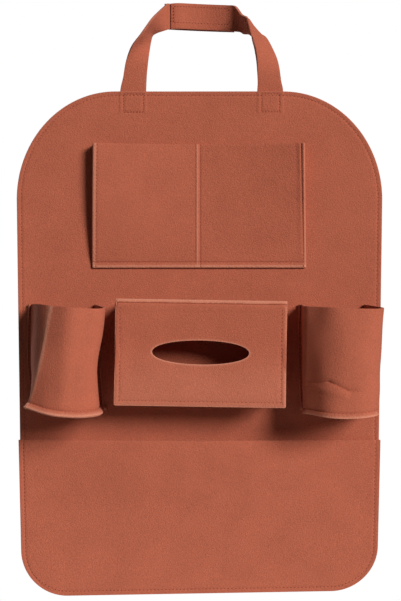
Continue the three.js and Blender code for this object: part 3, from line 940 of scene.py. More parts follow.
@dataclass
class PhonePocket:
    """The double pocket: one sheet sewn down its middle and along its foot, whose outer edges fold back.

    An edge and a side seam are given as their values at the foot and at the top. A growth is how many times
    sooner than at the top something has its full height.

    Attributes:
        left_fullness: how soon above the foot the left edge stands off as far as at the top.
        rise_power: how sharply the face comes forward towards its edges.
        fold_below_seat: how far behind the sewn felt's mid-surface the folded edges end.
        seam_columns: how far from the middle the columns lie close together, and their distance there.
        on_face: how a groove or ridge of the face fades out over a folded edge.
    """

    foot: float = 83.5
    height: float = 134.0
    left_depth: float = 14.0
    right_depth: float = 11.5
    left_fullness: float = 2.2
    rise_power: float = 1.4
    left_edge: Pair = (-116.4, -114.4)
    right_edge: Pair = (115.4, 113.0)
    fold_radius: float = 1.25
    fold_below_seat: float = 1.3
    right_seam: Pair = (2.0, 2.8)
    right_groove: Pair = (0.8, 2.0)
    right_groove_width: float = 0.9
    right_curl: float = 2.0
    curl_width: float = 9.0
    middle_groove: Stripe = Stripe(0.8, 0.8, 0.7)
    foot_groove: Stripe = Stripe(5.5, 0.8, 0.9)
    left_groove: Stripe = Stripe(3.4, 0.5, 1.0)
    middle_ridge: Stripe = Stripe(-2.8, 0.7, 0.9)
    foot_ridge: Stripe = Stripe(1.2, 0.5, 1.2)
    waves: Ripple = Ripple(0.3, 80.0, 11)
    # The pale stripes of the right edge, the foot ridge and the middle seam's left slope are painted
    # highlights where those slopes face the light; the left one is a worn fold.
    left_wear: Stripe = Stripe(0.8, 0.5, 1.6)
    right_painted_highlight: Stripe = Stripe(0.2, 0.4, 0.9)
    foot_painted_highlight: Stripe = Stripe(0.8, 0.6, 1.3)
    middle_painted_highlight: Stripe = Stripe(-2.4, 0.35, 0.8)
    inner: float = 100.0
    inner_columns: int = 38
    side_pieces: tuple[int, int] = (8, 14)
    side_arc: int = 5
    foot_points: int = 90
    row_places: tuple[float, ...] = (0.0, 3.0, 9.0)
    row_steps: tuple[int, ...] = (6, 12, 44)
    seam_columns: Pair = (6.0, 0.5)
    on_face: Fade = Fade(-0.6, 1.6)
    groove_growth: float = 6.0
    ridge_growth: float = 12.0
    waves_growth: float = 4.0

    def side_rises(self, up: Array) -> tuple[Array, Array]:
        """How far the left and the right edge stand off: depth (1 - (1 - up)^fullness), and depth up."""
        return self.left_depth * (1.0 - (1.0 - up) ** self.left_fullness), self.right_depth * up

    def side_run(self, edge: Array, rise: Array) -> Array:
        """A side's run in from its sewn cut edge, by its fold to the face: paths of across and forward.

        Args:
            edge: where the folded edge lies across, for each row.
            rise: how far it stands off there.

        Returns:
            (rows, points, 2) places across and forward.
        """
        seat, inner = SEAT_MIDDLE + 0.0 * rise, np.sign(edge) * self.inner
        face = seat + rise * (inner / edge) ** self.rise_power
        corners = [(edge, seat - self.fold_below_seat), (edge, seat + rise), (inner, face)]
        places = np.stack([np.stack(corner, axis=-1) for corner in corners], axis=1)
        radii = np.tile((0.0, self.fold_radius, 0.0), (len(rise), 1))
        return rounded_run(places, radii, self.side_pieces, self.side_arc)

    def surface(self) -> Surface:
        """The mid-surface: forward = seat + rise (|x| / edge)^power, less a groove at each row of stitches.

        Returns:
            The mid-surface, from the foot up and from left to right.
        """
        above = spaced((*self.row_places, self.height), self.row_steps)
        up = above / self.height
        left_edge, right_edge = mix(*self.left_edge, up), mix(*self.right_edge, up)
        left_rise, right_rise = self.side_rises(up)
        left, right = self.side_run(left_edge, left_rise), self.side_run(right_edge, right_rise)
        fine, pitch = self.seam_columns
        coarse = np.linspace(fine, self.inner, self.inner_columns)[:-1]
        near = np.concatenate([np.arange(pitch, fine, pitch), coarse])
        face = np.concatenate([-near[::-1], [0.0], near])[None, :] + 0.0 * up[:, None]
        edge = np.where(face < 0.0, -left_edge[:, None], right_edge[:, None])
        side_rise = np.where(face < 0.0, left_rise[:, None], right_rise[:, None])
        rise = SEAT_MIDDLE + side_rise * (np.abs(face) / edge) ** self.rise_power
        across = np.concatenate([left[..., 0], face, right[:, ::-1, 0]], axis=1)
        out = np.concatenate([left[..., 1], rise, right[:, ::-1, 1]], axis=1)
        from_left, from_right = across - left_edge[:, None], right_edge[:, None] - across
        on_face = self.on_face.at(np.minimum(from_left, from_right))
        h, share = above[:, None], up[:, None]
        off_foot = smooth(share * self.groove_growth)
        groove = self.middle_groove.at(across) + self.foot_groove.at(h) * on_face
        groove = groove + self.left_groove.at(from_left) * off_foot
        right_line = bell(from_right - mix(*self.right_seam, share), self.right_groove_width)
        groove = groove + mix(*self.right_groove, share) * right_line * off_foot
        ridge = self.middle_ridge.at(across) * smooth(share * self.ridge_growth)
        ridge = ridge + self.foot_ridge.at(h) * on_face
        ridge = ridge + self.right_curl * share * smooth(1.0 - from_right / self.curl_width) * on_face
        slow = self.waves.at(across, h) * on_face * smooth(share * self.waves_growth)
        points = np.stack([across, -(out - groove + ridge + slow), self.foot + h + 0.0 * across], axis=-1)
        # pales the worn left fold, and paints highlights on the foot ridge, the middle seam's left slope and
        # the right edge
        wear_and_highlight = self.left_wear.at(from_left) + self.foot_painted_highlight.at(h) * on_face + self.middle_painted_highlight.at(across)
        return Surface(points, wear_and_highlight=wear_and_highlight + self.right_painted_highlight.at(from_right))

    def seams(self, surface: Surface) -> list[Seam]:
        """The stitches down the left edge, the middle and the right edge, and along the foot.

        Args:
            surface: the pocket's mid-surface.

        Returns:
            The four seams.
        """
        z = surface.points[:, 0, 2] - self.foot
        rows = np.arange(len(z) - 1, -1, -1)
        folded = self.side_pieces[0] + self.side_arc
        x = surface.points[:, folded:-folded, 0]

        def line(places: Array) -> Seam:
            """A seam down the pocket through a place across for each row."""
            found = [np.interp(place, row, np.arange(len(row))) for place, row in zip(places, x)]
            return surface.seam(rows, folded + np.array(found)[rows], POCKET_THREAD)

        up = z / self.height
        left = mix(*self.left_edge, up) + self.left_groove.place
        right = mix(*self.right_edge, up) - mix(*self.right_seam, up)
        foot = int(np.argmin(np.abs(z - self.foot_groove.place)))
        places = np.linspace(left[foot], right[foot], self.foot_points)
        columns = folded + np.interp(places, x[foot], np.arange(x.shape[1]))
        along_foot = surface.seam(foot, columns, POCKET_THREAD)
        return [line(left), line(self.middle_groove.place + 0.0 * up), line(right), along_foot]

    def build(self, finishes: Finishes) -> None:
        """Builds the pocket's sheet and its stitches.

        Args:
            finishes: the organizer's finishes.
        """
        surface = self.surface()
        FeltPiece("phone_pocket_felt", "phone_pocket", (0.259, 0.134), 0.0332).build(finishes, surface)
        Stitching("phone_pocket_stitches").build(self.seams(surface), finishes)


@dataclass
class TissuePocket:
    """The tissue box pocket: a hemmed face with a long oval slot, and the strip that makes its walls.

    Attributes:
        off_centre: how far right of the panel's middle its own lies.
        lean: how far it is turned clockwise.
        margin: how far its walls stand in from the face's edge.
        hem_rise: how far the hem's fold reaches above the pocket's top.
        hem_stand: how far the hem stands in front of the face.
        bow: how far the face bows in, at its middle.
        bow_loss: the share of that which is gone at its sides.
        slot_below: how far below the pocket's top the slot's middle lies.
        slot_lips: how far from the slot the rings lie that follow it.
        low_painted_highlight_from: how far down the face the painted highlight starts that pales its lower
            part as if lit from above, as a share of the height.
        insets: how far in from the edge the face's rings lie.
        seam_end: how many rows or columns from its end a seam starts.
        flange_seam: the column of the strip that carries the flange's stitches.
    """

    width: float = 180.0
    height: float = 109.0
    depth: float = 55.0
    off_centre: float = 2.0
    top: float = 45.0
    lean: float = math.radians(0.9)
    margin: float = 5.0
    corner: float = 9.0
    face_corner: float = 1.5
    flange: float = 7.0
    hem: float = 8.0
    hem_radius: float = 1.65
    hem_rise: float = 3.0
    hem_stand: float = 0.4
    bow: float = 5.0
    slot: Pair = (102.0, 25.5)
    slot_below: float = 52.5
    slot_lips: tuple[float, ...] = (3.6, 2.2, 1.1, 0.0)
    hem_groove: Stripe = Stripe(-1.2, 1.9, 0.9)
    side_groove: float = 5.0
    side_groove_depths: Pair = (0.6, 0.15)
    edge_round: Stripe = Stripe(0.0, 0.8, 1.5)
    edge_wear: Stripe = Stripe(0.0, 0.45, 1.7)
    slot_wear: Stripe = Stripe(0.0, 0.7, 1.2)
    # The hem's roll is paler as a worn fold, and partly a painted highlight where it faces up to the light.
    hem_wear_and_highlight: Stripe = Stripe(-0.2, 0.75, 1.6)
    # The face is painted paler towards its bottom, as where it tilts up to the light.
    low_painted_highlight: float = 0.13
    face_waves: Ripple = Ripple(0.5, 100.0, 5)
    wall_waves: Ripple = Ripple(0.5, 45.0, 9)
    wall_waves_share: float = 0.6
    columns: int = 61
    face_rings: int = 15
    stand_fade: Fade = Fade(-1.5, 3.0)
    side_fade: Fade = Fade(0.0, 25.0)
    top_fade: Fade = Fade(0.0, 20.0)
    wall_fade: Fade = Fade(8.0, 12.0)
    side_groove_width: float = 1.0
    bow_loss: float = 0.4
    low_painted_highlight_from: float = 0.35
    edge_steps: tuple[int, ...] = (36, 60, 36)
    edge_arc: int = 6
    path_steps: tuple[int, ...] = (30, 36, 30)
    path_arc: int = 12
    section_steps: tuple[int, ...] = (5, 18, 3)
    section_arc: int = 5
    slot_points: int = 400
    seam_end: int = 2
    flange_seam: float = 3.0
    hem_turn: int = 9
    hem_rows: int = 6
    insets: tuple[float, ...] = (0.0, 0.6, 1.2, 1.8, 2.5, 3.4, 4.2, 5.0, 5.8, 7.2, 9.5)

    @property
    def face_middle(self) -> float:
        """How far in front of the panel's rear face the face's mid-surface lies."""
        return PANEL_FELT + self.depth - POCKET_FELT / 2.0

    def placed(self, x: Array, forward: Array, height: Array) -> Array:
        """Points of the leaning pocket: x' = x cos a + h sin a and z' = h cos a - x sin a, then moved up.

        Args:
            x: places across the upright pocket.
            forward: how far in front of the panel's rear face they lie.
            height: how far above the pocket's top they lie.

        Returns:
            The points, in the part's own frame.
        """
        turned = x * math.cos(self.lean) + height * math.sin(self.lean)
        raised = height * math.cos(self.lean) - x * math.sin(self.lean)
        return np.stack(np.broadcast_arrays(self.off_centre + turned, -forward, self.top + raised), axis=-1)

    def outer_ring(self) -> Array:
        """The face's edge below its hem, anticlockwise from its top right corner; the top side comes first.

        Returns:
            (points, 2) places across and above the pocket's top.
        """
        half = self.width / 2.0
        top = np.stack([np.linspace(half, -half, self.columns), np.full(self.columns, self.hem_top)], axis=1)
        sides = [[-half, self.hem_top], [-half, -self.height], [half, -self.height], [half, self.hem_top]]
        radii = np.array([[0.0, self.face_corner, self.face_corner, 0.0]])
        rest = rounded_run(np.array([sides]), radii, self.edge_steps, self.edge_arc)
        return np.concatenate([top, rest[0, 1:-1]])

    @property
    def hem_top(self) -> float:
        """The height at which the hem starts to roll back."""
        return self.hem_rise - self.hem_radius - POCKET_FELT / 2.0

    def slot_ring(self, outer: Array) -> Array:
        """The slot's point in each outer point's direction: two cubic curves between its tips, read by angle.

        Args:
            outer: the points of the face's edge.

        Returns:
            A point of the slot for each of them.
        """
        length, height = self.slot
        t = np.linspace(0.0, 1.0, self.slot_points)[:, None]
        tip, lift = length / 2.0, height / 2.0 * 4.0 / 3.0
        ends, bends = np.array([[tip, 0.0], [-tip, 0.0]]), np.array([[tip, lift], [-tip, lift]])
        near, far = (1 - t) ** 3 * ends[0] + 3 * t * (1 - t) ** 2 * bends[0], 3 * t**2 * (1 - t) * bends[1]
        upper = near + far + t**3 * ends[1]
        loop = np.concatenate([upper, (upper * [-1.0, -1.0])[1:]])
        angle = np.unwrap(np.arctan2(loop[:, 1] / height, loop[:, 0] / length))
        seen = np.arctan2((outer[:, 1] + self.slot_below) / self.height, outer[:, 0] / self.width)
        seen = angle[0] + np.mod(seen - angle[0], 2.0 * math.pi)
        ring = np.stack([np.interp(seen, angle, loop[:, i]) for i in range(2)], axis=1)
        return ring - [0.0, self.slot_below]

    def face(self) -> tuple[Surface, Surface, float]:
        """The face's grid from its edge in to the slot, and its hem's from there over the top.

        Returns:
            The two surfaces, and the row of the face on which its side stitches lie.
        """
        outer = self.outer_ring()
        inner = self.slot_ring(outer)
        half = np.array([self.width / 2.0, (self.height + self.hem_top) / 2.0])
        centre = np.array([0.0, (self.hem_top - self.height) / 2.0])
        rings = [centre + (outer - centre) * (half - inset) / half for inset in self.insets]
        edge, away = rings[-1], outer - inner
        away /= np.linalg.norm(away, axis=1, keepdims=True)
        lips = [inner + away * reach for reach in self.slot_lips]
        rings += [mix(edge, lips[0], share) for share in np.linspace(0.0, 1.0, self.face_rings)[1:-1]] + lips
        grid = np.stack(rings)
        x, h = grid[..., 0], grid[..., 1]
        side = np.minimum(half[0] - np.abs(x), h + self.height)
        stand = self.hem_stand * self.stand_fade.at(h + self.hem)
        side_depth = mix(*self.side_groove_depths, smooth(h / self.height + 1.0))
        groove = side_depth * bell(side - self.side_groove, self.side_groove_width) + self.hem_groove.at(h)
        sag = self.face_waves.at(x, h) * self.side_fade.at(side) * self.top_fade.at(-h)
        bow = np.sin(math.pi * np.clip(-h / self.height, 0.0, 1.0)) ** 2
        sag = sag - self.bow * bow * (1.0 - self.bow_loss * (x / half[0]) ** 2)
        forward = self.face_middle + stand - groove + sag - self.edge_round.at(side)
        from_slot = np.arange(len(rings) - 1, -1, -1)[:, None] + 0 * x
        wear_and_highlight = self.edge_wear.at(side) + self.slot_wear.at(from_slot)
        # painted highlight that pales the face's lower part
        wear_and_highlight = wear_and_highlight + self.low_painted_highlight * smooth(-2.0 * h / self.height - 2.0 * self.low_painted_highlight_from)
        face = Surface(self.placed(x, forward, h), closed=True, wear_and_highlight=wear_and_highlight)
        turn = np.linspace(0.0, math.pi, self.hem_turn)
        front = forward[0, : self.columns][::-1]
        across = x[0, : self.columns][::-1]
        back = np.linspace(0.0, self.hem + self.hem_top, self.hem_rows)[1:]
        drop = np.concatenate([self.hem_radius * np.sin(turn), -back])
        flat = np.full(len(back), 2 * self.hem_radius)
        behind = np.concatenate([self.hem_radius * (1.0 - np.cos(turn)), flat])
        rolled = self.placed(across[None, :], front[None, :] - behind[:, None], self.hem_top + drop[:, None])
        # worn fold of the hem, partly a painted highlight on its upper side
        hem = Surface(rolled, wear_and_highlight=self.hem_wear_and_highlight.at(drop[:, None] - self.hem_radius + 0 * across))
        return face, hem, float(np.interp(self.side_groove, self.insets, np.arange(len(self.insets))))

    def gusset(self) -> Surface:
        """The strip down the left side, along the floor and up the right: a flange, a wall, a front edge.

        Returns:
            The mid-surface, along the strip and then across it.
        """
        side, floor = self.width / 2.0 - self.margin, self.margin - self.height
        corners = np.array([[[-side, -SEAM_GAP], [-side, floor], [side, floor], [side, -SEAM_GAP]]])
        turns = np.array([[0.0, self.corner, self.corner, 0.0]])
        path = rounded_run(corners, turns, self.path_steps, self.path_arc)[0]
        front = PANEL_FELT + self.depth - POCKET_FELT - SEAM_GAP - POCKET_FELT / 2.0
        places = [(self.flange, SEAT_MIDDLE), (0.0, SEAT_MIDDLE), (0.0, front), (self.margin, front)]
        points = np.array([places])
        folds = np.array([[0.0, POCKET_FELT, POCKET_FELT, 0.0]])
        section = rounded_run(points, folds, self.section_steps, self.section_arc)[0]
        along = np.gradient(path, axis=0)
        along /= np.linalg.norm(along, axis=1, keepdims=True)
        out = np.stack([along[:, 1], -along[:, 0]], axis=1)
        x = path[:, :1] + out[:, :1] * section[None, :, 0]
        h = path[:, 1:] + out[:, 1:] * section[None, :, 0]
        forward = section[None, :, 1] + 0.0 * x
        waves = self.wall_waves.at(h + x, forward) * self.wall_fade.at(forward)
        x = x + out[:, :1] * waves * self.wall_waves_share
        h = h + out[:, 1:] * waves * self.wall_waves_share
        return Surface(self.placed(x, forward, h), outward=-1)

    def build(self, finishes: Finishes) -> None:
        """Builds the face, the strip of walls and their stitches.

        Args:
            finishes: the organizer's finishes.
        """
        face, hem, row = self.face()
        gusset = self.gusset()
        walls = FeltPiece("tissue_gusset_felt", "tissue_pocket_gusset", (0.372, 0.061), 0.0221)
        walls.build(finishes, gusset)
        FeltPiece(
            "tissue_face_felt", "tissue_pocket_face", (0.180, 0.119), 0.0191, rests_on=("tissue_gusset_felt",)
        ).build(finishes, face, hem)
        sides = face.seam(row, np.arange(self.columns - 1, face.points.shape[1] + 1), POCKET_THREAD)
        depths = np.array(self.insets) - self.hem_top
        hem_row = np.interp(-self.hem_groove.place, depths, np.arange(len(depths)))
        end = self.seam_end
        top = face.seam(hem_row, np.arange(end, self.columns - end), POCKET_THREAD)
        flange = gusset.seam(np.arange(end, len(gusset.points) - end), self.flange_seam, POCKET_THREAD)
        Stitching("tissue_pocket_stitches").build([sides, top, flange], finishes)


@dataclass
class Plan:
    """A bottle pocket's plan at one height: where its wall meets the panel on each side, then its left front
    corner, its bowed front and its right front corner as [across, in front of the panel, radius]."""

    feet: Pair
    corners: tuple[tuple[float, float, float], ...]

    def flat(self) -> Array:
        """The plan's numbers in one row: both feet, then each corner's three."""
        return np.array([*self.feet, *(value for corner in self.corners for value in corner)])


@dataclass
class Crease:
    """A soft dent or ridge of felt between two points [across, height], as deep as its height says."""

    start: Pair
    end: Pair
    height: float
    width: float

    def at(self, x: Array, z: Array) -> Array:
        """Height x bell(distance to the line between the two points).

        Args:
            x: places across.
            z: their heights.

        Returns:
            How far the felt is pushed there.
        """
        start, way = np.array(self.start), np.array(self.end) - np.array(self.start)
        share = np.clip(((x - start[0]) * way[0] + (z - start[1]) * way[1]) / (way @ way), 0.0, 1.0)
        away = np.hypot(x - start[0] - share * way[0], z - start[1] - share * way[1])
        return self.height * bell(away, self.width)


@dataclass
class BottlePocket:
    """A bottle pocket: a wall sewn to the panel by two flanges, and a round bottom sewn into its foot.

    Attributes:
        side: left or right, which starts the names of its pieces.
        middle: the pocket's own middle, across.
        rim: the plan at its top.
        waist: the plan part of the way down.
        foot: the plan at its bottom seam.
        waist_at: how far down the waist lies, as a share.
        hem_flare: how far the hem turns out.
        foot_tilt: how much higher the foot is at its left.
        left_sag: the rim's sag at its left, as a share.
        fold_wear: how worn the left front corner is.
        side_bulge: how far the left wall bulges out at the rim.
        droop: how far the foot's front sinks.
        flange_lift: how far the flanges stand off the panel.
        rim_lip: how much further the left one does at the rim.
        lip_end: how far down it still does, as a share.
        foot_radius: the radius between a flange and the wall.
        bend: how soft the change of slope at the waist is, as a share of the height.
        margin_radius: the radius at which the bottom's margin turns down.
    """

    side: str
    middle: float
    rim: Plan
    waist: Plan
    foot: Plan
    waist_at: float
    hem_flare: float
    foot_tilt: float
    left_sag: float
    wall_area: float
    bottom_area: float
    creases: Sequence[Crease] = ()
    fold_wear: float = 0.0
    side_bulge: float = 0.0
    seed: int = 1
    droop: float = 0.0
    width: float = 74.0
    depth: float = 79.0
    height: float = 109.0
    top: float = 43.0
    flange: float = 5.0
    flange_lift: float = 1.2
    rim_lip: float = 1.9
    lip_end: float = 0.3
    foot_radius: float = 1.5
    hem: float = 6.0
    rim_sag: float = 5.0
    bend: float = 0.07
    seam_groove: Stripe = Stripe(0.6, 1.1, 1.0)
    # The hem's pale band: worn felt at its lower edge, partly a painted highlight of that edge lit from
    # above.
    hem_wear_and_highlight: Stripe = Stripe(6.0, 0.75, 2.2)
    fold_wear_width: float = 2.2
    waves: Pair = (0.5, 55.0)
    waves_fade: Fade = Fade(10.0, 20.0)
    crease_fade: Fade = Fade(30.0, 25.0)
    seam_fade: Fade = Fade(8.0, 4.0)
    bulge_power: float = 1.6
    row_places: tuple[float, ...] = (0.0, 0.04, 0.9, 1.0)
    row_steps: tuple[int, ...] = (3, 46, 8)
    flange_seam: float = 1.8
    disc_shares: tuple[float, ...] = (0.0, 0.12, 0.25, 0.38, 0.51, 0.64, 0.77, 0.9)
    margin_arc: int = 6
    margin_rows: int = 4
    side_pieces: int = 14
    front_pieces: int = 8
    flange_pieces: int = 4
    arc: int = 10
    hem_rows: int = 6
    margin_radius: float = 1.6

    def plans(self, down: Array) -> Array:
        """The plan's numbers at each share down: a hyperbola that runs from the rim to the foot by the waist.

        value = waist + mean slope x s + half slope change x (sqrt(s^2 + w^2) - w), s from the waist.

        Args:
            down: shares of the height, from the rim.

        Returns:
            (shares, 11) numbers.
        """
        rim, waist, foot = (plan.flat()[None, :] for plan in (self.rim, self.waist, self.foot))
        before, after = (waist - rim) / self.waist_at, (foot - waist) / (1.0 - self.waist_at)
        s = down[:, None] - self.waist_at
        turn = np.sqrt(s * s + self.bend * self.bend) - self.bend
        return waist + (before + after) / 2.0 * s + (after - before) / 2.0 * turn

    def run(self, numbers: Array, flare: Array, inset: Array | float, lips: Array | None) -> Array:
        """The plan's paths: (rows, points, 2) of across and forward.

        Args:
            numbers: (rows, 11) plans.
            flare: how far each is spread.
            inset: how far each is drawn in.
            lips: how high the left flange's edge stands up, or None for paths without flanges.

        Returns:
            The paths, from the left of the pocket round its front to the right.
        """
        left_foot, right_foot = numbers[:, 0], numbers[:, 1]
        grow = flare - inset
        seat = SEAT_MIDDLE + 0.0 * left_foot
        corners, radii = [(left_foot - grow, seat)], [self.foot_radius + 0.0 * seat]
        for way, start in ((-1.0, 2), (0.0, 5), (1.0, 8)):
            corners.append((numbers[:, start] + way * grow, PANEL_FELT + numbers[:, start + 1] + grow))
            radii.append(np.maximum(numbers[:, start + 2] - inset, 0.5))
        corners.append((right_foot + grow, seat))
        radii.append(radii[0])
        pieces = (self.side_pieces, self.front_pieces, self.front_pieces, self.side_pieces)
        if lips is not None:
            start = (left_foot - grow - self.flange + 0.5 * lips, seat + lips)
            end = (right_foot + grow + self.flange, seat + self.flange_lift)
            corners = [start, *corners, end]
            radii = [0.0 * seat, *radii, 0.0 * seat]
            pieces = (self.flange_pieces, *pieces, self.flange_pieces)
        places = np.stack([np.stack(corner, axis=-1) for corner in corners], axis=1)
        return rounded_run(places, np.stack(radii, axis=1), pieces, self.arc)

    def placed(self, run: Array, height: Array, down: Array) -> Array:
        """Points of the pocket: z = height - sag (1 - down) forward x side share + tilt down (1 - across)
        - droop down forward sin(pi across).

        Args:
            run: places across and forward.
            height: their heights before the sag and the tilt.
            down: their shares of the height, from the rim.

        Returns:
            The points, in the part's own frame.
        """
        forward = np.clip((run[..., 1] - POCKET_SEAT) / self.depth, 0.0, 1.0)
        across = np.clip(run[..., 0] / self.width + 0.5, 0.0, 1.0)
        sag = self.rim_sag * (1.0 - down) * forward * mix(self.left_sag, 1.0, across)
        z = height - sag + self.foot_tilt * down * (1.0 - across)
        z = z - self.droop * down * forward * np.sin(math.pi * across)
        return np.stack([self.middle + run[..., 0], -run[..., 1], z], axis=-1)

    def wall(self) -> Surface:
        """The wall's mid-surface from its rim to its hem, with its creases pushed in or out.

        Returns:
            The mid-surface, from the rim down and from left to right.
        """
        down = np.concatenate([spaced(self.row_places, self.row_steps), np.ones(self.hem_rows)])
        below = np.concatenate([np.zeros(len(down) - self.hem_rows), np.arange(self.hem_rows) + 1.0])
        flare = self.hem_flare * below / self.hem
        lips = self.flange_lift + self.rim_lip * (1.0 - smooth(down / self.lip_end))
        run = self.run(self.plans(down), flare, 0.0, lips)
        points = self.placed(run, (self.top - self.height * down - below)[:, None], down[:, None])
        x, z, out = points[..., 0], points[..., 2], run[..., 1]
        push = Ripple(*self.waves, self.seed).at(x + out, z) * self.waves_fade.at(out)
        push = push * smooth(1.0 - below[:, None])
        for crease in self.creases:
            push = push + crease.at(x, z) * self.crease_fade.at(out)
        level = (self.height * (down - 1.0) + below)[:, None]
        push = push - self.seam_groove.at(level) * self.seam_fade.at(out)
        fold = self.flange_pieces + self.arc + self.side_pieces + self.arc // 2
        steps = np.linalg.norm(np.diff(run, axis=1), axis=2)
        along = np.concatenate([np.zeros((len(run), 1)), np.cumsum(steps, axis=1)], axis=1)
        start, end = (along[:, column : column + 1] for column in (self.flange_pieces, fold))
        share = np.clip((along - start) / (end - start), 0.0, 1.0)
        push = push + self.side_bulge * (1.0 - down[:, None]) * np.sin(math.pi * share**self.bulge_power)
        # pales the worn crease, and the hem's band, which is partly a painted highlight
        wear_and_highlight = self.fold_wear * bell(along - end, self.fold_wear_width) + self.hem_wear_and_highlight.at(level)
        return Surface(points, outward=-1, wear_and_highlight=wear_and_highlight).pushed(push)

    def bottom(self) -> Surface:
        """The disc's mid-surface: rings out from its middle, then its margin turned down inside the hem.

        Returns:
            The mid-surface, from the middle out and down the margin.
        """
        seam, radius, sunk = POCKET_FELT + SEAM_GAP, self.margin_radius, POCKET_FELT / 2.0
        shares, below = np.array(self.disc_shares), self.margin_rows
        turn = np.linspace(0.0, math.pi / 2.0, self.margin_arc)
        insets = np.concatenate([seam + radius * (1.0 - np.sin(turn)), np.full(below, seam)])
        straight = radius + np.arange(1, below + 1) * (self.hem - sunk - radius) / below
        drops = np.concatenate([radius * (1.0 - np.cos(turn)), straight])
        flare = self.hem_flare * np.clip((drops + sunk) / self.hem, 0.0, 1.0) * (drops > radius * 0.99)
        runs = self.run(self.plans(np.ones(len(insets))), flare, insets, None)
        runs[..., 1] = np.maximum(runs[..., 1], SEAT_MIDDLE)
        centre = np.array([0.0, PANEL_FELT + self.depth / 2.0])
        run = np.concatenate([centre + (runs[:1] - centre) * shares[:, None, None], runs])
        height = self.top - self.height - sunk - np.concatenate([np.zeros(len(shares)), drops])
        return Surface(self.placed(run, height[:, None], np.ones((len(run), 1))), closed=True)

    def build(self, finishes: Finishes) -> None:
        """Builds the wall, the bottom and their stitches.

        Args:
            finishes: the organizer's finishes.
        """
        wall, names = self.wall(), (f"{self.side}_bottle_wall_felt", f"{self.side}_bottle_bottom_felt")
        sheet = FeltPiece(names[0], f"{self.side}_bottle_pocket", (0.240, 0.115), self.wall_area)
        sheet.build(finishes, wall)
        FeltPiece(
            names[1], f"{self.side}_bottle_bottom", (0.086, 0.088), self.bottom_area, rests_on=(names[0],)
        ).build(finishes, self.bottom())
        rows, columns = wall.points.shape[:2]
        inside = self.flange_pieces + self.arc
        hem = wall.seam(rows - self.hem_rows, np.arange(inside, columns - inside), POCKET_THREAD)
        down = np.arange(1, rows - self.hem_rows - 1)
        sewn = (self.flange_seam, columns - 1.0 - self.flange_seam)
        flanges = [wall.seam(down, column, POCKET_THREAD) for column in sewn]
        Stitching(f"{self.side}_bottle_stitches").build([hem, *flanges], finishes)


@dataclass
class Band:
    """The strap's upper part, an arc behind the headrest posts.

    Its middle lies back(x) = near + (reach - near) (1 - ((x - middle) / span)^2) behind the panel's rear
    face, and its upper edge is as high as top(x) = top + tilt (x - middle) + arch (x - middle)^2.
    """

    top: float = 378.4
    tilt: float = -0.045
    arch: float = -0.0016
    width: float = 28.5
    reach: float = 27.0
    near: float = 12.0
    middle: float = 5.0
    span: float = 45.0
    columns: int = 8

    def rails(self, start: float, end: float, layer: float, width: float) -> Array:
        """A length of the band, a layer behind its front sheet, as points of its upper and lower edge.

        Args:
            start: where the length starts, across.
            end: where it ends.
            layer: how far behind the front sheet it lies.
            width: how wide it is.

        Returns:
            (columns, 2, 3) points.
        """
        x = np.linspace(start, end, self.columns)
        slope = -2.0 * (self.reach - self.near) * (x - self.middle) / self.span**2
        length = np.hypot(1.0, slope)
        bow = 1.0 - ((x - self.middle) / self.span) ** 2
        back = self.near + (self.reach - self.near) * bow + layer / length
        inset = (self.width - width) / 2.0
        height = self.top + self.tilt * (x - self.middle) + self.arch * (x - self.middle) ** 2 - inset
        upper = np.stack([x - slope / length * layer, back, height], axis=1)
        return np.stack([upper, upper - [0.0, 0.0, width]], axis=1)


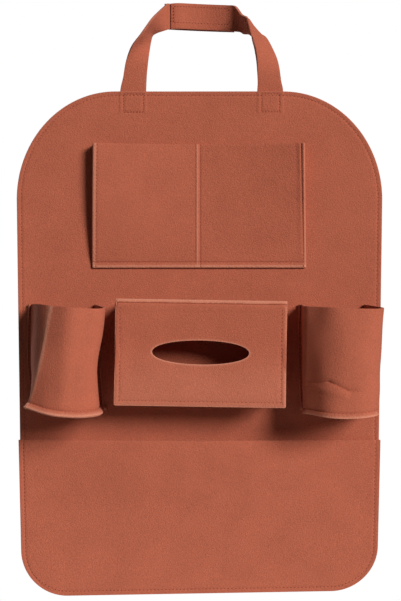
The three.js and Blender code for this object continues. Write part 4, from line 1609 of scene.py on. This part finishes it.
@dataclass
class Strap:
    """The carrying strap: two strips sewn behind the panel, whose ends overlap behind the headrest's posts
    and close with a hook tape on a loop tape."""

    panel_top: float = 276.0
    tail: float = 23.0
    width: float = 28.5
    left_foot: float = -72.8
    right_foot: float = 77.6
    band_left: float = -31.7
    band_right: float = 36.0
    band_lead: float = 2.5
    right_lead: float = 4.0
    tape_thickness: float = 1.2
    tape_width: float = 22.0
    tape_left: float = 8.0
    tape_right: float = 4.0
    end_press: float = 3.8
    pressed_end: float = 5.0
    strip_steps: int = 9
    strip_columns: int = 11
    tape_steps: int = 5
    tape_columns: int = 9
    stitched: Pair = (-29.0, 33.0)
    stitched_insets: Pair = (3.7, 21.6)
    stitched_points: tuple[int, int] = (40, 12)
    band: Band = field(default_factory=Band)
    left_corner: tuple[tuple[float, ...], ...] = (
        (-11, 0.5, 16, 15, 2, 18),
        (-7.6, -2, 33, 16.4, 3, 34),
        (-1, -7, 48, 17.5, 9, 49),
        (9, -11, 60, 18.5, 13, 59),
        (15, -11, 68.5, 20.5, 15, 65.5),
        (22, -8, 79, 26, 16, 69),
        (30, 7, 91.5, 33.3, 18, 71.2),
        (36, 15, 99.2, 36.5, 20, 72.6),
    )
    right_corner: tuple[tuple[float, ...], ...] = (
        (-38, 15, 97.5, -33, 18, 69.5),
        (-31, 4, 85.5, -27.5, 14, 66.5),
        (-25.6, -8, 79.5, -22, -5, 61.5),
        (-18.8, 2, 72.8, -20, -11, 55.8),
        (-10.4, 8, 65, -18.6, -12, 50.5),
        (-3.4, 9, 59.5, -17.2, -11, 45.5),
        (5.8, 6, 41, -15.2, -7, 34),
        (9.6, 3, 28, -14.2, -3, 22),
        (12, 2, 12, -13.7, 0.5, 10),
    )

    def foot(self, x: float) -> Array:
        """A strip's foot on the panel's rear face.

        Args:
            x: the foot's middle, across.

        Returns:
            (2, 2, 3) points of its left and right edge, bottom first.
        """
        rear = SEAM_GAP + STRAP_FELT / 2.0
        sides = (x - self.width / 2.0, x + self.width / 2.0)
        heights = (self.panel_top - self.tail, self.panel_top)
        return np.array([[[side, rear, height] for side in sides] for height in heights])

    def corner(self, x: float, stations: Sequence[Sequence[float]]) -> Array:
        """(stations, 2, 3) points of a corner's two edges, from its table."""
        return np.array(stations).reshape(-1, 2, 3) + [x, 0.0, self.panel_top]

    def ribbon(self, stations: Array, steps: int, columns: int) -> Surface:
        """The strip between two smooth rails through the stations, straight across.

        Args:
            stations: (stations, 2, 3) points of the rails.
            steps: pieces between two stations.
            columns: points across.

        Returns:
            The strip's mid-surface.
        """
        rails = spline(stations.reshape(len(stations), 6), steps).reshape(-1, 2, 3)
        share = np.linspace(0.0, 1.0, columns)[None, :, None]
        return Surface(mix(rails[:, :1], rails[:, 1:], share))

    def build(self, finishes: Finishes) -> None:
        """Builds the two strips, the two tapes and their stitches.

        Args:
            finishes: the organizer's finishes.
        """
        pitch = (STRAP_FELT + self.tape_thickness) / 2.0 + SEAM_GAP
        behind = 2.0 * pitch + self.tape_thickness + SEAM_GAP
        band = self.band.rails(self.band_left - self.band_lead, self.band_right, behind, self.width)
        corner = self.corner(self.left_foot, self.left_corner)
        left = np.concatenate([self.foot(self.left_foot), corner, band])
        band = self.band.rails(self.band_left, self.band_right - self.right_lead, 0.0, self.width)
        band[:2, :, 1] += [[self.end_press], [self.end_press * 0.1]]
        foot = self.foot(self.right_foot)[::-1, ::-1]
        right = np.concatenate([band, self.corner(self.right_foot, self.right_corner), foot])
        back, front = (self.ribbon(rails, self.strip_steps, self.strip_columns) for rails in (left, right))
        from_end = lengths_along(front.points[:, self.strip_columns // 2])[:, None]
        front.pressed = 1.0 - smooth(from_end / self.pressed_end)
        for side, surface in (("left", back), ("right", front)):
            FeltPiece(
                f"{side}_strap_felt", f"{side}_strap", (0.0285, 0.196), 0.00554, STRAP_FELT, Held.HUNG
            ).build(finishes, surface)
        end = (self.width - self.tape_width) / 2.0
        start, stop = self.band_left + end + self.tape_left, self.band_right - end - self.tape_right
        tapes = (("hook", pitch, "right"), ("loop", pitch + self.tape_thickness + SEAM_GAP, "left"))
        for name, layer, side in tapes:
            rails = self.band.rails(start, stop, layer, self.tape_width)
            FeltPiece(
                f"{name}_tape_strip", f"{name}_tape", (0.0545, 0.022), 0.00115, self.tape_thickness,
                rests_on=(f"{side}_strap_felt",), slot="tape", edge_round=0.25,
            ).build(finishes, self.ribbon(rails, self.tape_steps, self.tape_columns))
        Stitching("strap_tape_stitches", pitch=3.2, length=2.3).build(self.rectangle(front), finishes)

    def rectangle(self, front: Surface) -> list[Seam]:
        """The rectangle of stitches that holds the hook tape to the front strip.

        Args:
            front: the front strip's mid-surface.

        Returns:
            Its four sides.
        """
        flat = (self.band.columns - 1) * self.strip_steps + 3
        along, around = self.stitched_points
        rows = np.interp(np.linspace(*self.stitched, along), front.points[:flat, 0, 0], np.arange(flat))
        columns = [inset / self.width * (self.strip_columns - 1) for inset in self.stitched_insets]
        lift = STRAP_FELT / 2.0 - THREAD_SINK
        sides = [front.seam(rows, column, lift) for column in columns]
        return sides + [front.seam(row, np.linspace(*columns, around), lift) for row in (rows[0], rows[-1])]


@dataclass
class Studio:
    """The floor, the lamps and the camera of the photograph."""

    camera_place: tuple[float, float, float] = (0.0011, -1.303, 0.0472)
    lens: float = 71.2
    key_direction: tuple[float, float, float] = (-0.82, 1.0, -0.5)
    key_strength: float = 3.72
    key_angle: float = 22.0
    back_direction: tuple[float, float, float] = (0.5, -1.0, -0.4)
    back_strength: float = 1.5
    fill: float = 0.07
    floor_height: float = -0.46
    floor_radius: float = 0.55
    floor_segments: int = 96
    floor_roughness: float = 0.9
    floor_colour: tuple[float, float, float] = (0.88, 0.88, 0.87)

    def camera(self) -> None:
        """A level camera that looks along +Y, with the picture's long side on the sensor's 36 mm."""
        data = bpy.data.cameras.new("camera")
        data.lens = self.lens
        data.sensor_width = 36.0
        made = linked("camera", data)
        made.location = self.camera_place
        made.rotation_euler = (math.pi / 2.0, 0.0, 0.0)
        bpy.context.scene.camera = made

    def lamp(self, name: str, strength: float, direction: tuple[float, float, float]) -> None:
        """Adds a soft sun that shines along a direction.

        Args:
            name: the lamp's name.
            strength: its strength.
            direction: where its light goes.
        """
        data = bpy.data.lights.new(name, "SUN")
        data.energy = strength
        data.angle = math.radians(self.key_angle)
        x, y, z = direction
        turn = (math.acos(-z / math.sqrt(x * x + y * y + z * z)), 0.0, math.atan2(-x, y))
        linked(name, data).rotation_euler = turn

    def lamps(self) -> None:
        """A key from the right front, a weak lamp from behind, and a pale world, white to the camera."""
        self.lamp("key", self.key_strength, self.key_direction)
        self.lamp("back", self.back_strength, self.back_direction)
        world = bpy.data.worlds.new("studio")
        bpy.context.scene.world = world
        world.use_nodes = True
        nodes, links = world.node_tree.nodes, world.node_tree.links
        background, output = nodes["Background"], nodes["World Output"]
        background.inputs["Strength"].default_value = self.fill
        background.inputs["Color"].default_value = (1.0, 1.0, 1.0, 1.0)
        white = nodes.new("ShaderNodeBackground")
        white.inputs["Color"].default_value = (1.0, 1.0, 1.0, 1.0)
        rays = nodes.new("ShaderNodeLightPath")
        seen = rays.outputs["Is Camera Ray"]
        for ray in ("Is Glossy Ray", "Is Transmission Ray"):
            either = nodes.new("ShaderNodeMath")
            either.operation = "MAXIMUM"
            links.new(seen, either.inputs[0])
            links.new(rays.outputs[ray], either.inputs[1])
            seen = either.outputs["Value"]
        choice = nodes.new("ShaderNodeMixShader")
        links.new(seen, choice.inputs["Fac"])
        links.new(background.outputs["Background"], choice.inputs[1])
        links.new(white.outputs["Background"], choice.inputs[2])
        links.new(choice.outputs["Shader"], output.inputs["Surface"])

    def floor(self) -> None:
        """A small pale round floor below the picture, which takes the organizer's shadow."""
        bench = bmesh.new()
        bmesh.ops.create_circle(bench, cap_ends=True, segments=self.floor_segments, radius=self.floor_radius)
        bmesh.ops.translate(bench, verts=bench.verts, vec=(0.0, 0.0, self.floor_height))
        mesh = bpy.data.meshes.new("studio_floor")
        bench.to_mesh(mesh)
        bench.free()
        material = bpy.data.materials.new("pale_floor")
        material.use_nodes = True
        bsdf = material.node_tree.nodes["Principled BSDF"]
        bsdf.inputs["Base Color"].default_value = (*self.floor_colour, 1.0)
        bsdf.inputs["Roughness"].default_value = self.floor_roughness
        mesh.materials.append(material)
        linked("studio_floor", mesh)


def bottle_pockets() -> tuple[BottlePocket, BottlePocket]:
    """The left pocket, which slumps over a sharp crease, and the right one, whose rim is pulled out.

    Returns:
        The left and the right pocket.
    """
    left = BottlePocket(
        side="left",
        middle=-141.7,
        rim=Plan((-40.6, 28.2), ((-11.3, 68.5, 3.5), (9.0, 78.0, 36.0), (47.9, 67.0, 19.0))),
        waist=Plan((-41.5, 28.5), ((-25.0, 71.5, 5.0), (-5.0, 81.0, 36.0), (35.1, 73.0, 24.0))),
        foot=Plan((-36.0, 32.0), ((-35.6, 66.5, 6.0), (-12.0, 80.0, 34.0), (37.0, 74.0, 31.0))),
        waist_at=0.66,
        hem_flare=4.5,
        foot_tilt=8.0,
        left_sag=0.0,
        droop=4.0,
        wall_area=0.0240,
        bottom_area=0.0063,
        creases=(
            Crease((-132.5, 43.0), (-139.5, -58.0), 2.2, 9.5),
            Crease((-122.0, 30.0), (-128.0, -20.0), 0.6, 6.0),
        ),
        fold_wear=0.8,
        side_bulge=8.0,
        seed=21,
    )
    right = BottlePocket(
        side="right",
        middle=150.8,
        rim=Plan((-38.6, 29.7), ((-40.5, 54.0, 12.0), (-10.0, 79.0, 42.0), (48.3, 73.0, 30.0))),
        waist=Plan((-38.2, 30.0), ((-40.5, 51.0, 12.0), (-14.0, 79.5, 34.0), (42.4, 76.5, 31.0))),
        foot=Plan((-36.0, 32.0), ((-41.0, 49.0, 12.0), (-17.0, 78.5, 27.0), (37.4, 78.0, 30.0))),
        waist_at=0.6,
        hem_flare=0.6,
        foot_tilt=0.0,
        left_sag=0.5,
        droop=2.5,
        wall_area=0.0253,
        bottom_area=0.0059,
        creases=(
            Crease((114.0, -38.5), (134.0, -36.5), -1.2, 1.8),
            Crease((134.0, -36.5), (154.0, -46.5), -1.9, 1.6),
            Crease((118.0, -42.0), (150.0, -51.0), 0.9, 3.0),
            Crease((157.0, -46.5), (161.0, -47.0), -1.8, 2.0),
            Crease((160.0, -42.5), (174.0, -39.0), 0.9, 2.2),
        ),
        seed=22,
    )
    return left, right


def main() -> None:
    """Builds the organizer's parts in order, then the studio."""
    logging.basicConfig(level=logging.INFO, format="%(name)s %(message)s")
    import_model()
    bpy.context.scene.view_settings.view_transform = "Standard"
    finishes = Finishes.mixed()
    studio = Studio()
    studio.camera()
    outline = Outline()
    BackPanel(outline).build(finishes)
    MagazinePocket(outline).build(finishes)
    PhonePocket().build(finishes)
    TissuePocket().build(finishes)
    for pocket in bottle_pockets():
        pocket.build(finishes)
    Strap().build(finishes)
    studio.lamps()
    studio.floor()


if __name__ == "__main__":
    main()
